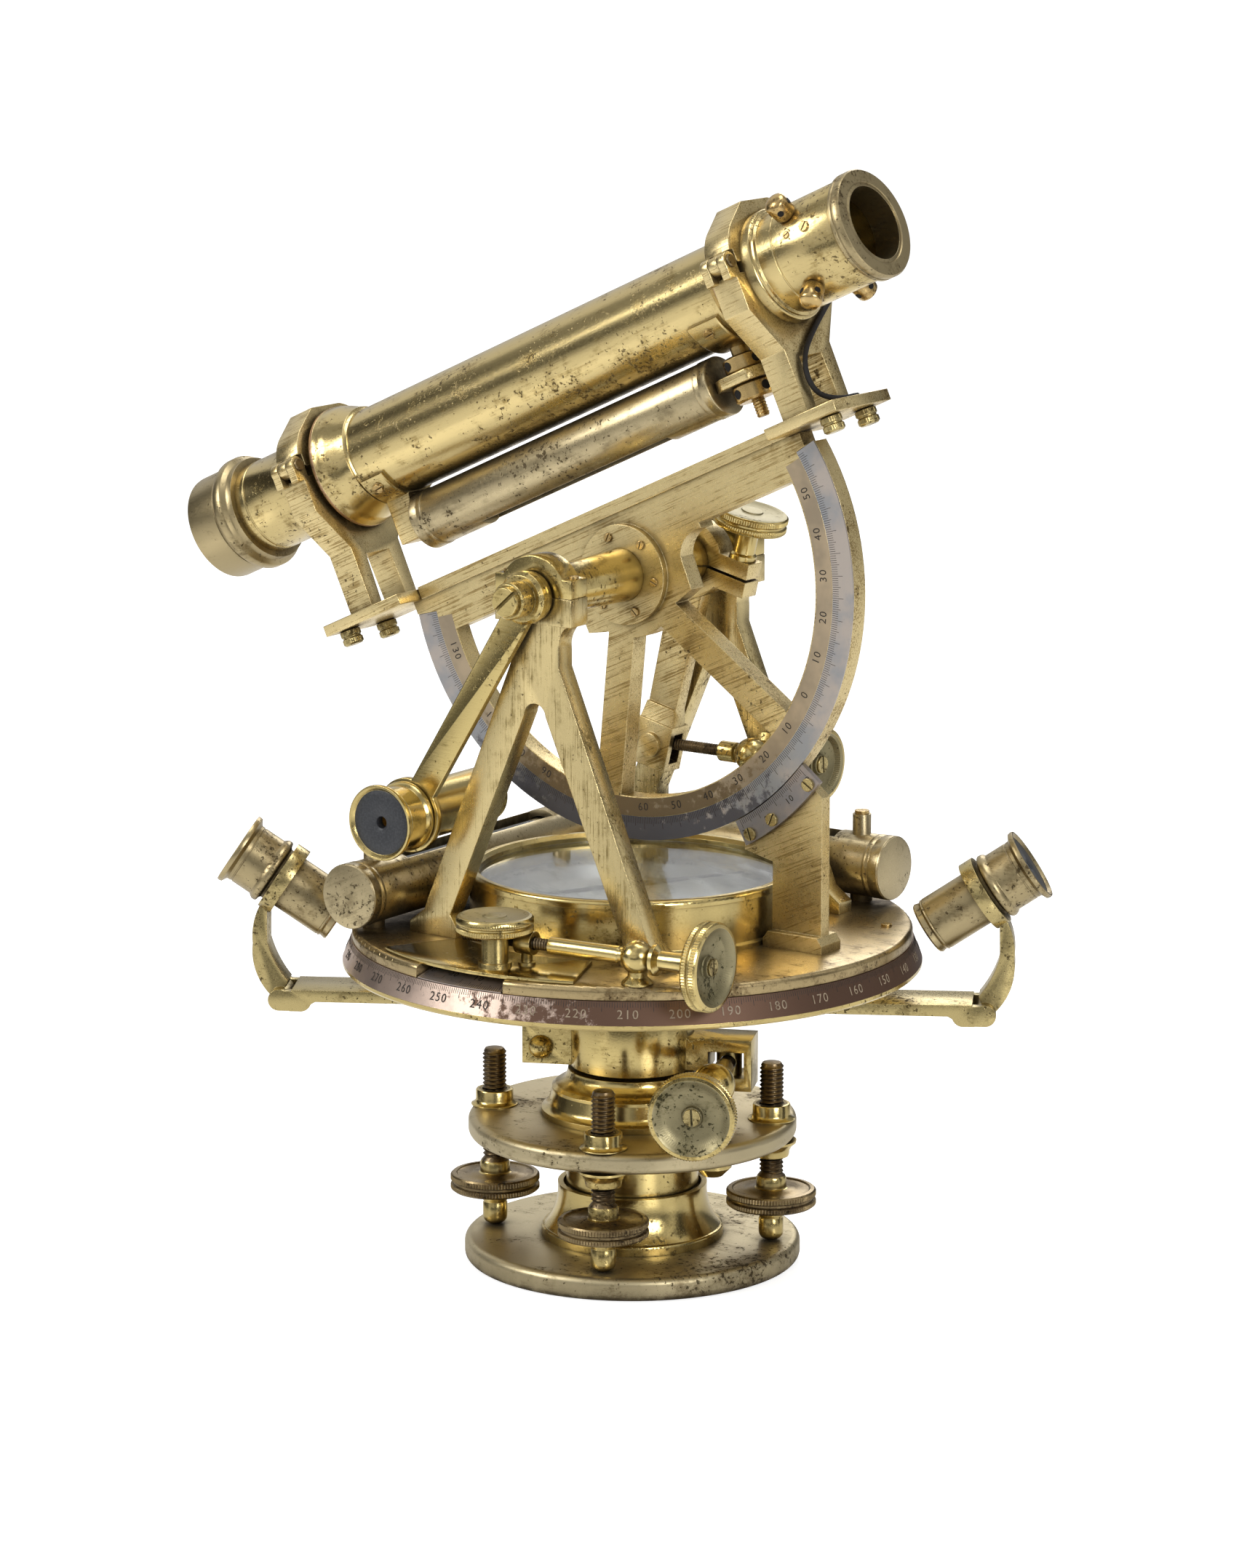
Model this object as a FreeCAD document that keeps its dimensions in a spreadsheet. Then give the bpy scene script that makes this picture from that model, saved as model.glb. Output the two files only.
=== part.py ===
import FreeCAD, Part
import Sketcher
import math
import os

# Antique brass transit instrument on a four screw levelling head: two vertical
# centres, a silvered horizontal limb read by two folding microscopes, a compass
# between two A shaped standards, and a telescope in Ys over a half circle arc.
# Millimetres. Z is the vertical axis, X runs along the telescope towards its
# eyepiece, Y along the trunnion towards the rear standard. Z = 0 is the
# underside of the lower plate.

doc = FreeCAD.newDocument("theodolite")
sheet = doc.addObject("Spreadsheet::Sheet", "Dims")


class Dim(float):
    """A length that keeps the sheet expression it came from."""

    def __new__(cls, value, text):
        made = super().__new__(cls, value)
        made.text = text
        return made

    def joined(self, other, sign, value):
        return Dim(value, f"({self.text} {sign} {words(other)})")

    def __add__(self, other):
        return self.joined(other, "+", float(self) + float(other))

    def __sub__(self, other):
        return self.joined(other, "-", float(self) - float(other))

    def __mul__(self, other):
        return self.joined(other, "*", float(self) * float(other))

    def __neg__(self):
        return Dim(-float(self), f"(0 - {self.text})")


def words(value):
    return value.text if isinstance(value, Dim) else repr(float(value))


class Sizes:
    """The driving dimensions, one spreadsheet row each."""

    def __init__(self, table):
        for row, (alias, value) in enumerate(table.items(), start=1):
            sheet.set(f"A{row}", alias)
            sheet.set(f"B{row}", str(value))
            sheet.setAlias(f"B{row}", alias)
            setattr(self, alias, Dim(value, f"Dims.{alias}"))


D = Sizes({
    "base_radius": 45.0,
    "base_height": 6.3,
    "bell_foot": 24.4,
    "ball_height": 18.0,
    "ball_radius": 11.5,
    "stem_radius": 17.7,
    "plate_radius": 43.9,
    "plate_low": 34.0,
    "plate_high": 39.7,
    "screw_circle": 37.8,
    "screw_radius": 3.25,
    "screw_head": 12.0,
    "screw_top": 55.5,
    "outer_centre": 10.0,
    "inner_centre": 6.0,
    "hub_radius": 13.5,
    "collar_radius": 16.5,
    "limb_radius": 77.0,
    "vernier_radius": 74.4,
    "vernier_low": 88.6,
    "deck": 92.0,
    "compass_radius": 43.2,
    "compass_top": 105.0,
    "bezel_radius": 43.8,
    "axis_height": 185.8,
    "journal_radius": 5.6,
    "standard_offset": 37.5,
    "standard_depth": 6.0,
    "arc_radius": 70.8,
    "arc_inner": 59.4,
    "arc_depth": 5.8,
    "scope_offset": 56.6,
    "tube_radius": 13.0,
    "collar_fit": 15.1,
    "level_radius": 8.5,
    "slung_radius": 7.8,
    "microscope_radius": 7.5,
    "cord_radius": 0.7,
    "head_radius": 11.5,
})

TILT = 24.6
LEVEL_SCREW_ANGLE = 23.7
CLAMP_ANGLE = 25.0
READER_ANGLE = 30.0
ALTITUDE_CLAMP_ANGLE = 13.5
VERNIER_ANGLE = 88.0

X_AXIS = FreeCAD.Vector(1, 0, 0)
Y_AXIS = FreeCAD.Vector(0, 1, 0)
Z_AXIS = FreeCAD.Vector(0, 0, 1)


def at(x=0.0, y=0.0, z=0.0, axis=Z_AXIS, degrees=0.0):
    return FreeCAD.Placement(FreeCAD.Vector(x, y, z), FreeCAD.Rotation(axis, degrees))


def along(point, direction):
    """Local Z laid along a direction from a point."""
    turn = FreeCAD.Rotation(Z_AXIS, FreeCAD.Vector(*direction))
    return FreeCAD.Placement(FreeCAD.Vector(*point), turn)


# The frame that tips with the telescope: local X along the sight line,
# local Z square to it, origin on the trunnion axis.
TIPPED = at(z=float(D.axis_height), axis=Y_AXIS, degrees=-TILT)
UPRIGHT = at(axis=X_AXIS, degrees=90)
ALONG_X = at(axis=Y_AXIS, degrees=90)
ALONG_Y = at(axis=X_AXIS, degrees=-90)

nodes = []


def bind(sketch, kind, geo, pos, value):
    """One vertex coordinate, tied to the sheet when the value comes from it."""
    number = float(value)
    if abs(number) < 1e-9:
        axis = -2 if kind == "DistanceX" else -1
        sketch.addConstraint(Sketcher.Constraint("PointOnObject", geo, pos, axis))
        return
    index = sketch.addConstraint(Sketcher.Constraint(kind, -1, 1, geo, pos, number))
    if isinstance(value, Dim):
        sketch.setExpression(f"Constraints[{index}]", value.text)


class Piece:
    """One sub-part, built as a body from sketches on its own origin planes."""

    def __init__(self, label, place=None):
        self.body = doc.addObject("PartDesign::Body", label)
        self.body.Label = label
        self.body.AllowCompound = True
        self.place = place or FreeCAD.Placement()
        self.count = 0
        nodes.append(self.body)

    def done(self):
        doc.recompute()
        self.body.Placement = self.place
        return self

    def sketch(self, plane, offset):
        self.count += 1
        made = self.body.newObject("Sketcher::SketchObject", f"{self.body.Label}_s{self.count}")
        base = [o for o in self.body.Origin.OriginFeatures if o.Role == f"{plane}_Plane"][0]
        made.AttachmentSupport = (base, [""])
        made.MapMode = "FlatFace"
        made.AttachmentOffset = at(z=float(offset))
        return made

    def outline(self, plane, offset, points):
        """Closed outline. A point is (x, y), or (x, y, mx, my) to arrive by an arc."""
        made = self.sketch(plane, offset)
        total = len(points)
        for i in range(total):
            start = FreeCAD.Vector(float(points[i][0]), float(points[i][1]), 0)
            goal = points[(i + 1) % total]
            end = FreeCAD.Vector(float(goal[0]), float(goal[1]), 0)
            if len(goal) == 4:
                middle = FreeCAD.Vector(float(goal[2]), float(goal[3]), 0)
                made.addGeometry(Part.Arc(start, middle, end), False)
            else:
                made.addGeometry(Part.LineSegment(start, end), False)
        ends = []
        for i in range(total):
            start = FreeCAD.Vector(float(points[i][0]), float(points[i][1]), 0)
            near = made.getPoint(i, 1).distanceToPoint(start) < 1e-6
            ends.append((1, 2) if near else (2, 1))
        for i in range(total):
            after = (i + 1) % total
            made.addConstraint(
                Sketcher.Constraint("Coincident", i, ends[i][1], after, ends[after][0])
            )
            bind(made, "DistanceX", i, ends[i][0], points[i][0])
            bind(made, "DistanceY", i, ends[i][0], points[i][1])
        return made

    def circles(self, plane, offset, rings):
        """Circles as (x, y, radius)."""
        made = self.sketch(plane, offset)
        for i, (x, y, radius) in enumerate(rings):
            centre = FreeCAD.Vector(float(x), float(y), 0)
            made.addGeometry(Part.Circle(centre, Z_AXIS, float(radius)), False)
            bind(made, "DistanceX", i, 3, x)
            bind(made, "DistanceY", i, 3, y)
            index = made.addConstraint(Sketcher.Constraint("Radius", i, float(radius)))
            if isinstance(radius, Dim):
                made.setExpression(f"Constraints[{index}]", radius.text)
        return made

    def feature(self, kind, profile):
        made = self.body.newObject(kind, f"{self.body.Label}_f{self.count}")
        made.Profile = profile
        return made

    def turn(self, points, angle=360.0, place=None):
        """Outline of (radius, height) turned about local Z, or about the Z of a placement."""
        profile = self.outline("XZ", 0, points)
        if place:
            profile.AttachmentOffset = UPRIGHT.inverse().multiply(place).multiply(UPRIGHT)
        made = self.feature("PartDesign::Revolution", profile)
        made.ReferenceAxis = (profile, ["V_Axis"])
        made.Angle = angle
        doc.recompute()
        return made

    def groove(self, points, angle=360.0):
        before = self.body.Shape.Volume
        profile = self.outline("XZ", 0, points)
        made = self.feature("PartDesign::Groove", profile)
        made.ReferenceAxis = (profile, ["V_Axis"])
        made.Angle = angle
        doc.recompute()
        if self.body.Shape.Volume > before - 1e-3:
            raise RuntimeError(f"{self.body.Label}: a groove cut nothing")
        return made

    def extrude(self, plane, start, length, profile_of, cut):
        """Material, or a cut, from start to start + length along the plane's row axis."""
        flip = plane == "XZ"
        profile = profile_of(plane, -float(start) if flip else float(start))
        made = self.feature("PartDesign::Pocket" if cut else "PartDesign::Pad", profile)
        made.Length = float(length)
        if isinstance(length, Dim):
            made.setExpression("Length", length.text)
        made.Reversed = (not flip) if cut else flip
        before = self.body.Shape.Volume if cut else 0.0
        doc.recompute()
        if cut and self.body.Shape.Volume > before - 1e-3:
            raise RuntimeError(f"{self.body.Label}: a pocket cut nothing")
        return made

    def pad(self, points, start, length, plane="XY"):
        return self.extrude(plane, start, length, lambda p, o: self.outline(p, o, points), False)

    def pocket(self, points, start, length, plane="XY"):
        return self.extrude(plane, start, length, lambda p, o: self.outline(p, o, points), True)

    def discs(self, rings, start, length, plane="XY"):
        return self.extrude(plane, start, length, lambda p, o: self.circles(p, o, rings), False)

    def holes(self, rings, start, length, plane="XY"):
        return self.extrude(plane, start, length, lambda p, o: self.circles(p, o, rings), True)

    def placed(self, place, points, length):
        """An outline padded along the local Z of a placement inside this piece."""
        profile = self.outline("XY", 0, points) if len(points[0]) != 3 else None
        profile = profile or self.circles("XY", 0, points)
        profile.AttachmentOffset = place
        made = self.feature("PartDesign::Pad", profile)
        made.Length = float(length)
        doc.recompute()
        return made

    def placed_hole(self, place, rings, length):
        """Round holes running back against the local Z of a placement."""
        before = self.body.Shape.Volume
        profile = self.circles("XY", 0, rings)
        profile.AttachmentOffset = place
        made = self.feature("PartDesign::Pocket", profile)
        made.Length = float(length)
        doc.recompute()
        if self.body.Shape.Volume > before - 1e-3:
            raise RuntimeError(f"{self.body.Label}: a hole cut nothing")
        return made

    def polar(self, features, count, angle=360.0):
        made = self.body.newObject("PartDesign::PolarPattern", f"{self.body.Label}_p{self.count}")
        made.Originals = features
        axis = [o for o in self.body.Origin.OriginFeatures if o.Role == "Z_Axis"][0]
        made.Axis = (axis, [""])
        made.Angle = angle
        made.Occurrences = count
        self.body.Tip = made
        doc.recompute()
        return made


def box(x0, x1, y0, y1):
    return [(x0, y0), (x1, y0), (x1, y1), (x0, y1)]


def dome(radius, height, rise):
    """Spherical end from (radius, height) to the axis, as the point that ends the arc."""
    ball = (radius * radius + rise * rise) / (2 * abs(rise))
    middle = math.asin(radius / ball) / 2
    side = 1.0 if rise > 0 else -1.0
    centre = height + rise - side * ball
    return (0, height + rise, ball * math.sin(middle), centre + side * ball * math.cos(middle))


def ball_end(ball, centre, neck):
    """A ball on a neck, ending on the axis above its centre."""
    return [(neck, centre - math.sqrt(ball ** 2 - neck ** 2)), (0, centre + ball, ball, centre)]


def polar_point(radius, degrees):
    turn = math.radians(degrees)
    return radius * math.cos(turn), radius * math.sin(turn)


def sector(inner, outer, first, last):
    """Annular sector outline between two angles, in degrees."""
    middle = (first + last) / 2
    return [
        polar_point(inner, first), polar_point(outer, first),
        polar_point(outer, last) + polar_point(outer, middle), polar_point(inner, last),
    ]


def close_arc(points, middle):
    """The first point reached from the last by an arc through middle."""
    return [tuple(points[0][:2]) + tuple(middle)] + list(points[1:])


def ring_sector(inner, outer, first, last):
    points = sector(inner, outer, first, last)
    return close_arc(points, polar_point(inner, (first + last) / 2))


# ---------------------------------------------------------------- levelling head

lower_plate = Piece("lower_plate")
lower_plate.turn([
    (19.0, 0), (43.0, 0), (D.base_radius, 2.0, 44.41, 0.59), (D.base_radius, 4.3),
    (43.0, D.base_height, 44.41, 5.71), (0, D.base_height), (0, 5.0), (19.0, 5.0),
])
lower_plate.done()

# The bell carries a spherical seat inside and an open mouth above it.
bell = Piece("bell")
bell.turn([
    (8.95, D.base_height), (D.bell_foot, D.base_height), (D.bell_foot, 8.2),
    (23.6, 9.0, 24.2, 8.8), (20.0, 19.6, 20.9, 13.6), (20.0, 20.6), (18.5, 20.6),
    (18.5, D.ball_height), (13.05, D.ball_height), (8.95, 8.5, 11.98, 12.82),
])
bell.done()

# A loose cup between the seat and the ball, so that the head tips about two axes.
swivel_cup = Piece("swivel_cup")
swivel_cup.turn([
    (0, 8.5), (8.87, 8.5), (13.0, D.ball_height, 11.92, 12.82), (0, D.ball_height),
])
swivel_cup.groove([
    (0, 6.0), (6.57, 6.0), (6.57, 8.5), (11.55, D.ball_height, 10.23, 12.64),
    (11.55, 19.0), (0, 19.0),
])
swivel_cup.done()

upper_plate = Piece("upper_plate", at(degrees=LEVEL_SCREW_ANGLE))
upper_plate.turn([
    (14.02, D.plate_low), (42.0, D.plate_low), (D.plate_radius, 35.9, 43.35, 34.55),
    (D.plate_radius, 37.8), (42.0, D.plate_high, 43.35, 39.15), (14.02, D.plate_high),
])
bosses = upper_plate.discs([(D.screw_circle, 0, 4.15)], 29.6, 14.4)
upper_plate.polar([bosses], 4)
screw_hole = upper_plate.holes([(D.screw_circle, 0, D.screw_radius + 0.05)], 29.0, 16.0)
upper_plate.polar([screw_hole], 4)
post_spot = polar_point(37.1, -20.1 - LEVEL_SCREW_ANGLE)
upper_plate.holes([(post_spot[0], post_spot[1], 2.05)], 33.0, 8.0)
upper_plate.done()

# Four levelling screws: threaded shank, double milled head, round foot.
for number in range(4):
    spot = polar_point(float(D.screw_circle), LEVEL_SCREW_ANGLE + 90 * number)
    screw = Piece(f"level_screw_{number + 1}", at(spot[0], spot[1]))
    screw.turn([
        (0, 6.35), (1.4, 6.35), (D.screw_radius, 8.2, 2.71, 6.89), (D.screw_radius, 16.0),
        (D.screw_head - 0.5, 16.0), (D.screw_head, 16.5), (D.screw_head, 17.6),
        (D.screw_head - 0.7, 18.1), (D.screw_head - 0.7, 18.5), (D.screw_head, 19.0),
        (D.screw_head, 20.2), (D.screw_head - 0.5, 20.7), (3.8, 20.7), (3.8, 24.2),
        (D.screw_radius, 25.0), (D.screw_radius, D.screw_top - 0.9),
        dome(3.25, 54.6, 0.9),
    ])
    screw.done()

# Ball, stem and socket turned in one piece, bored for the outer centre.
centre_socket = Piece("centre_socket")
centre_socket.turn([
    (0, 9.0), (7.16, 9.0), (D.ball_radius, D.ball_height, 10.36, 13.0),
    (D.ball_radius, 20.3), (D.stem_radius, 20.3), (D.stem_radius, D.plate_low),
    (14.0, D.plate_low), (14.0, D.plate_high), (24.3, D.plate_high), (24.3, 41.3),
    (22.4, 43.4, 23.1, 42.1), (21.5, 46.4), (21.5, 47.2), (20.5, 48.0),
    (17.2, 52.0, 18.1, 49.6), (15.2, 52.4), (10.05, 52.4), (10.05, 26.0), (0, 26.0),
])
centre_socket.done()

# ------------------------------------------------------------ lower clamp, slow motion

lower_clamp = Piece("lower_clamp_collar", at(degrees=CLAMP_ANGLE))
lower_clamp.turn([
    (13.55, 53.0), (D.collar_radius, 53.0), (D.collar_radius, 68.0), (13.55, 68.0),
])
lower_clamp.pad(box(15.0, 33.0, -5.8, 5.8), 53.2, 8.8)
lower_clamp.pad(box(22.6, 33.0, -5.8, 5.8), 48.0, 6.0)
lower_clamp.pocket(box(21.4, 31.0, 51.5, 58.5), -7.0, 14.0, plane="XZ")
lower_clamp.discs([(26.2, 0, 3.4)], 51.0, 8.0)
lower_clamp.holes([(26.2, 55.0, 2.2)], -5.0, 10.0, plane="XZ")
lower_clamp.pad(box(-29.0, -15.0, -5.0, 5.0), 53.0, 11.6)
lower_clamp.pocket(box(-30.0, -12.8, -0.6, 0.6), 52.0, 17.0)
lower_clamp.holes([(-24.0, 57.6, 1.65)], -6.0, 12.0, plane="XZ")
lower_clamp.done()

lower_screw_spot = polar_point(24.0, 180 + CLAMP_ANGLE)
lower_clamp_screw = Piece(
    "lower_clamp_screw",
    at(lower_screw_spot[0], lower_screw_spot[1], 57.6, degrees=CLAMP_ANGLE).multiply(ALONG_Y),
)
lower_clamp_screw.turn([
    (0, 9.6), (5.0, 9.6), (5.4, 9.0), (5.4, 5.6), (5.0, 5.1), (1.6, 5.1), (1.6, -5.1),
    (3.2, -5.1), dome(3.2, -5.1, -2.9),
])
lower_clamp_screw.done()

tangent_turn = CLAMP_ANGLE - 90
nut_spot = polar_point(26.2, CLAMP_ANGLE)


def tangent_screw(label, place, thread, neck, ball, head):
    """A slow motion screw along local Z: thread, plain neck in the ball, dished head."""
    shaft, back, front = thread
    made = Piece(label, place)
    rim = float(head[0])
    made.turn([
        (0, back), (shaft, back), (shaft, front), (neck[1], front + 0.6), (neck[1], neck[0] - 0.6),
        (1.95, neck[0] - 0.2), (1.95, ball + (ball - neck[0]) + 0.2), (4.1, ball + (ball - neck[0]) + 0.2),
        (4.1, ball + (ball - neck[0]) + 1.6), (3.2, ball + (ball - neck[0]) + 2.2), (3.3, head[1]),
        (rim - 0.7, head[1] + 0.3), (rim, head[1] + 0.9), (rim, head[1] + 1.9),
        (rim - 0.6, head[1] + 2.3), (rim - 0.6, head[1] + 2.6), (rim, head[1] + 3.0),
        (rim, head[1] + 4.3), (rim - 1.4, head[1] + 4.9),
        (2.6, head[1] + 2.2, rim * 0.55, head[1] + 2.7), (2.6, head[1] + 3.6), (0, head[1] + 3.6),
    ])
    made.done()
    return made


tangent_screw(
    "lower_tangent_screw",
    along((nut_spot[0], nut_spot[1], 55.0), polar_point(1.0, tangent_turn) + (0.0,)),
    (2.0, -9.0, 8.0), (19.9, 2.6), 26.3, (D.head_radius, 55.6),
)

ball_spot = (
    nut_spot[0] + 26.3 * math.cos(math.radians(tangent_turn)),
    nut_spot[1] + 26.3 * math.sin(math.radians(tangent_turn)),
)
lower_post = Piece("lower_tangent_post", at(ball_spot[0], ball_spot[1], degrees=tangent_turn))
lower_post.turn([
    (0, 30.6), (2.6, 30.6), (3.4, 31.4), (5.0, 33.0), (5.0, 34.0), (2.0, 34.0), (2.0, 39.7),
    (4.6, 39.7), (4.6, 41.0), (2.6, 43.6), (2.6, 49.76), (5.85, 55.0, 4.35, 51.1),
    (2.6, 60.24, 4.35, 58.9), (0, 60.85),
])
lower_post.holes([(0, 55.0, 2.0)], -8.0, 16.0, plane="YZ")
lower_post.done()

# ------------------------------------------------------------------- horizontal limb

limb = Piece("limb")
limb.turn([
    (6.05, 27.0), (D.outer_centre, 27.0), (D.outer_centre, 52.8), (D.hub_radius, 52.8),
    (D.hub_radius, 76.0), (17.5, 80.4, 14.6, 79.0), (64.0, 80.4), (68.0, 81.2),
    (76.4, 81.2), (D.limb_radius, 81.8), (D.limb_radius, 82.7), (76.5, 82.7),
    (74.15, 88.5), (70.5, 88.5), (70.5, 86.2), (64.0, 84.4), (22.0, 84.4), (20.0, 88.5),
    (6.05, 88.5),
])
limb.done()

limb_scale = Piece("limb_scale")
limb_scale.turn([
    (76.5, 82.7), (D.limb_radius, 82.7), (74.65, 88.5), (74.15, 88.5),
])
limb_scale.done()

# ------------------------------------------------- folding readers on a carrier ring

reader_ring = Piece("reader_ring", at(degrees=READER_ANGLE))
reader_ring.turn([
    (13.6, 69.6), (20.5, 69.6), (21.0, 70.1), (21.0, 72.4), (20.5, 72.9), (13.6, 72.9),
])
for side in (1, -1):
    reader_ring.pad(box(*sorted((side * 16.5, side * 87.5)), -8.0, 8.0), 69.7, 3.1)
    reader_ring.pad([
        (side * 84.0, 72.8), (side * 90.6, 72.8), (side * 91.2, 70.3, side * 90.4, 71.4),
        (side * 91.2, 67.0), (side * 88.6, 67.0), (side * 85.4, 69.0, side * 86.4, 67.6),
        (side * 84.0, 69.8),
    ], -8.0, 16.0, plane="XZ")
    for edge in (-8.0, 5.3):
        reader_ring.discs([(side * 94.0, 70.0, 2.9)], edge, 2.7, plane="XZ")
        reader_ring.pad(
            box(*sorted((side * 90.0, side * 94.0)), 67.1, 72.5), edge, 2.7, plane="XZ"
        )
    reader_ring.discs([(side * 94.0, 70.0, 1.0)], -7.0, 14.0, plane="XZ")
reader_ring.done()

SCOPE_TIP = (78.2, 91.4)
SCOPE_EYE = (105.7, 109.8)
scope_length = math.hypot(SCOPE_EYE[0] - SCOPE_TIP[0], SCOPE_EYE[1] - SCOPE_TIP[1])
scope_slope = math.degrees(math.atan2(SCOPE_EYE[1] - SCOPE_TIP[1], SCOPE_EYE[0] - SCOPE_TIP[0]))


def scope_point(distance, aside=0.0):
    """Point in the reader's plane, measured from the eye end down the optical axis."""
    slope = math.radians(scope_slope)
    return (
        SCOPE_EYE[0] - distance * math.cos(slope) - aside * math.sin(slope),
        SCOPE_EYE[1] - distance * math.sin(slope) + aside * math.cos(slope),
    )


def reader_arm(label, degrees):
    """Curved upright with a hinge eye below and a clip ring for the microscope above."""
    made = Piece(label, at(degrees=degrees))
    low = scope_point(14.9, -9.0)
    made.discs([(94.0, 70.0, 2.8)], -5.0, 10.0, plane="XZ")
    made.pad([
        (93.0, 72.0), (92.2, 74.2), (97.6, 85.0, 95.4, 79.2), (low[0] - 0.9, low[1] + 1.0),
        (low[0] + 1.2, low[1] + 0.6), (101.4, 84.5, 101.2, 89.6), (96.7, 70.3, 100.2, 75.6),
        (95.0, 69.6),
    ], -4.0, 8.0, plane="XZ")
    made.holes([(94.0, 70.0, 1.05)], -6.0, 12.0, plane="XZ")
    centre = scope_point(13.0)
    inward = FreeCAD.Vector(
        -math.cos(math.radians(scope_slope)), 0, -math.sin(math.radians(scope_slope))
    )
    ring = along((centre[0], 0, centre[1]), inward)
    made.placed(ring, [(0, 0, 9.8)], 3.8)
    bore = along((centre[0] + inward.x * 5, 0, centre[1] + inward.z * 5), inward)
    made.placed_hole(bore, [(0, 0, D.microscope_radius + 0.05)], 7.0)
    made.done()
    return made


for mark, degrees in (("a", READER_ANGLE), ("b", READER_ANGLE + 180)):
    reader_arm(f"reader_arm_{mark}", degrees)
    outward = polar_point(1.0, degrees)
    slope = math.radians(scope_slope)
    inward = (
        -outward[0] * math.cos(slope), -outward[1] * math.cos(slope), -math.sin(slope),
    )
    eye = (outward[0] * SCOPE_EYE[0], outward[1] * SCOPE_EYE[0], SCOPE_EYE[1])
    scope = Piece(f"reader_scope_{mark}", along(eye, inward))
    scope.turn([
        (1.65, 0.9), (8.6, 0.9), (9.5, 0), (10.1, 0.3), (10.1, 1.5), (8.4, 2.0), (8.35, 9.6),
        (8.9, 10.2), (9.2, 10.8), (9.2, 12.2), (8.8, 12.9), (D.microscope_radius, 12.9),
        (D.microscope_radius, 30.4), (7.0, 31.2), (7.3, 32.6), (7.0, 33.0), (5.2, 33.0),
        (5.2, 6.0), (1.65, 3.4),
    ])
    scope.done()

# ----------------------------------------------------------------- vernier plate, compass

vernier_plate = Piece("vernier_plate", at(degrees=-VERNIER_ANGLE - 4.0))
vernier_plate.turn([
    (0, 38.0), (5.2, 38.0), (D.inner_centre, 38.8), (D.inner_centre, D.vernier_low),
    (D.vernier_radius, D.vernier_low), (D.vernier_radius, 90.6),
    (D.vernier_radius - 1.2, D.deck, 74.0, 91.6), (0, D.deck),
])
window = vernier_plate.pocket([
    polar_point(66.0, -11.0), polar_point(80.0, -11.0), polar_point(80.0, 11.0),
    polar_point(66.0, 11.0),
], 88.0, 5.0)
vernier_plate.polar([window], 2)
vernier_plate.done()

compass_box = Piece("compass_box")
compass_box.turn([
    (0, D.deck), (D.compass_radius + 0.4, D.deck), (D.compass_radius + 0.4, 93.2),
    (D.compass_radius, 93.8), (D.compass_radius, D.compass_top), (41.9, D.compass_top),
    (41.9, 94.0), (0, 94.0),
])
compass_box.done()

compass_bezel = Piece("compass_bezel")
compass_bezel.turn([
    (40.6, D.compass_top), (D.bezel_radius, D.compass_top), (D.bezel_radius, 106.0),
    (42.6, 107.2, 43.5, 106.9), (41.6, 107.2), (40.6, 106.2),
])
compass_bezel.done()

compass_glass = Piece("compass_glass")
compass_glass.turn([(0, 103.5), (41.85, 103.5), (41.85, 104.95), (0, 104.95)])
compass_glass.done()

compass_dial = Piece("compass_dial")
compass_dial.turn([
    (0, 94.02), (41.8, 94.02), (41.8, 98.6), (35.5, 98.6), (34.6, 95.0), (3.0, 95.0),
    (1.0, 96.4), (0.8, 99.3), (0, 100.0),
])
compass_dial.done()

needle = Piece("compass_needle", at(degrees=62))
needle.turn([(0.95, 99.6), (3.2, 99.6), (2.6, 101.6), (0, 102.4), (0, 100.2)])
needle.pad(
    [(-33.5, 0), (-3.0, -1.9), (3.0, -1.9), (33.5, 0), (3.0, 1.9), (-3.0, 1.9)], 100.45, 0.55
)
needle.done()

# ------------------------------------------------------------ azimuth clamp, slow motion

AZIMUTH_NUT = (8.9, -59.3, 98.9)
AZIMUTH_TURN = 5.4
azimuth_plate = Piece("azimuth_clamp_plate")
azimuth_plate.pad(ring_sector(50.2, 72.6, -117.0, -66.6), 92.05, 0.9)
azimuth_plate.discs([(3.3, -65.4, 4.3)], 92.9, 1.4)
azimuth_plate.discs([(3.3, -65.4, 3.5)], 94.2, 7.9)
azimuth_plate.discs([(AZIMUTH_NUT[0], AZIMUTH_NUT[1], 2.3)], 92.9, 1.0)
azimuth_plate.discs([(AZIMUTH_NUT[0], AZIMUTH_NUT[1], 1.5)], 93.8, 3.6)
nut_turn = FreeCAD.Rotation(Z_AXIS, FreeCAD.Vector(*polar_point(1.0, AZIMUTH_TURN), 0))
nut_back = FreeCAD.Vector(*AZIMUTH_NUT) - nut_turn.multVec(FreeCAD.Vector(0, 0, 2.4))
azimuth_plate.placed(FreeCAD.Placement(nut_back, nut_turn), [(0, 0, 3.05)], 4.8)
nut_front = FreeCAD.Vector(*AZIMUTH_NUT) + nut_turn.multVec(FreeCAD.Vector(0, 0, 4.0))
azimuth_plate.placed_hole(FreeCAD.Placement(nut_front, nut_turn), [(0, 0, 1.8)], 8.0)
azimuth_plate.done()

azimuth_knob = Piece("azimuth_clamp_knob", at(3.3, -65.4))
azimuth_knob.turn([
    (0, 102.15), (9.6, 102.15), (10.0, 102.5), (10.0, 103.6), (9.4, 104.0), (9.4, 104.3),
    (10.0, 104.7), (10.0, 106.0), (9.4, 106.5), (0, 106.7),
])
azimuth_knob.done()

tangent_screw(
    "azimuth_tangent_screw",
    along(AZIMUTH_NUT, polar_point(1.0, AZIMUTH_TURN) + (0.0,)),
    (1.6, -19.0, 6.6), (28.0, 2.3), 32.6, (D.head_radius, 50.6),
)

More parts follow.
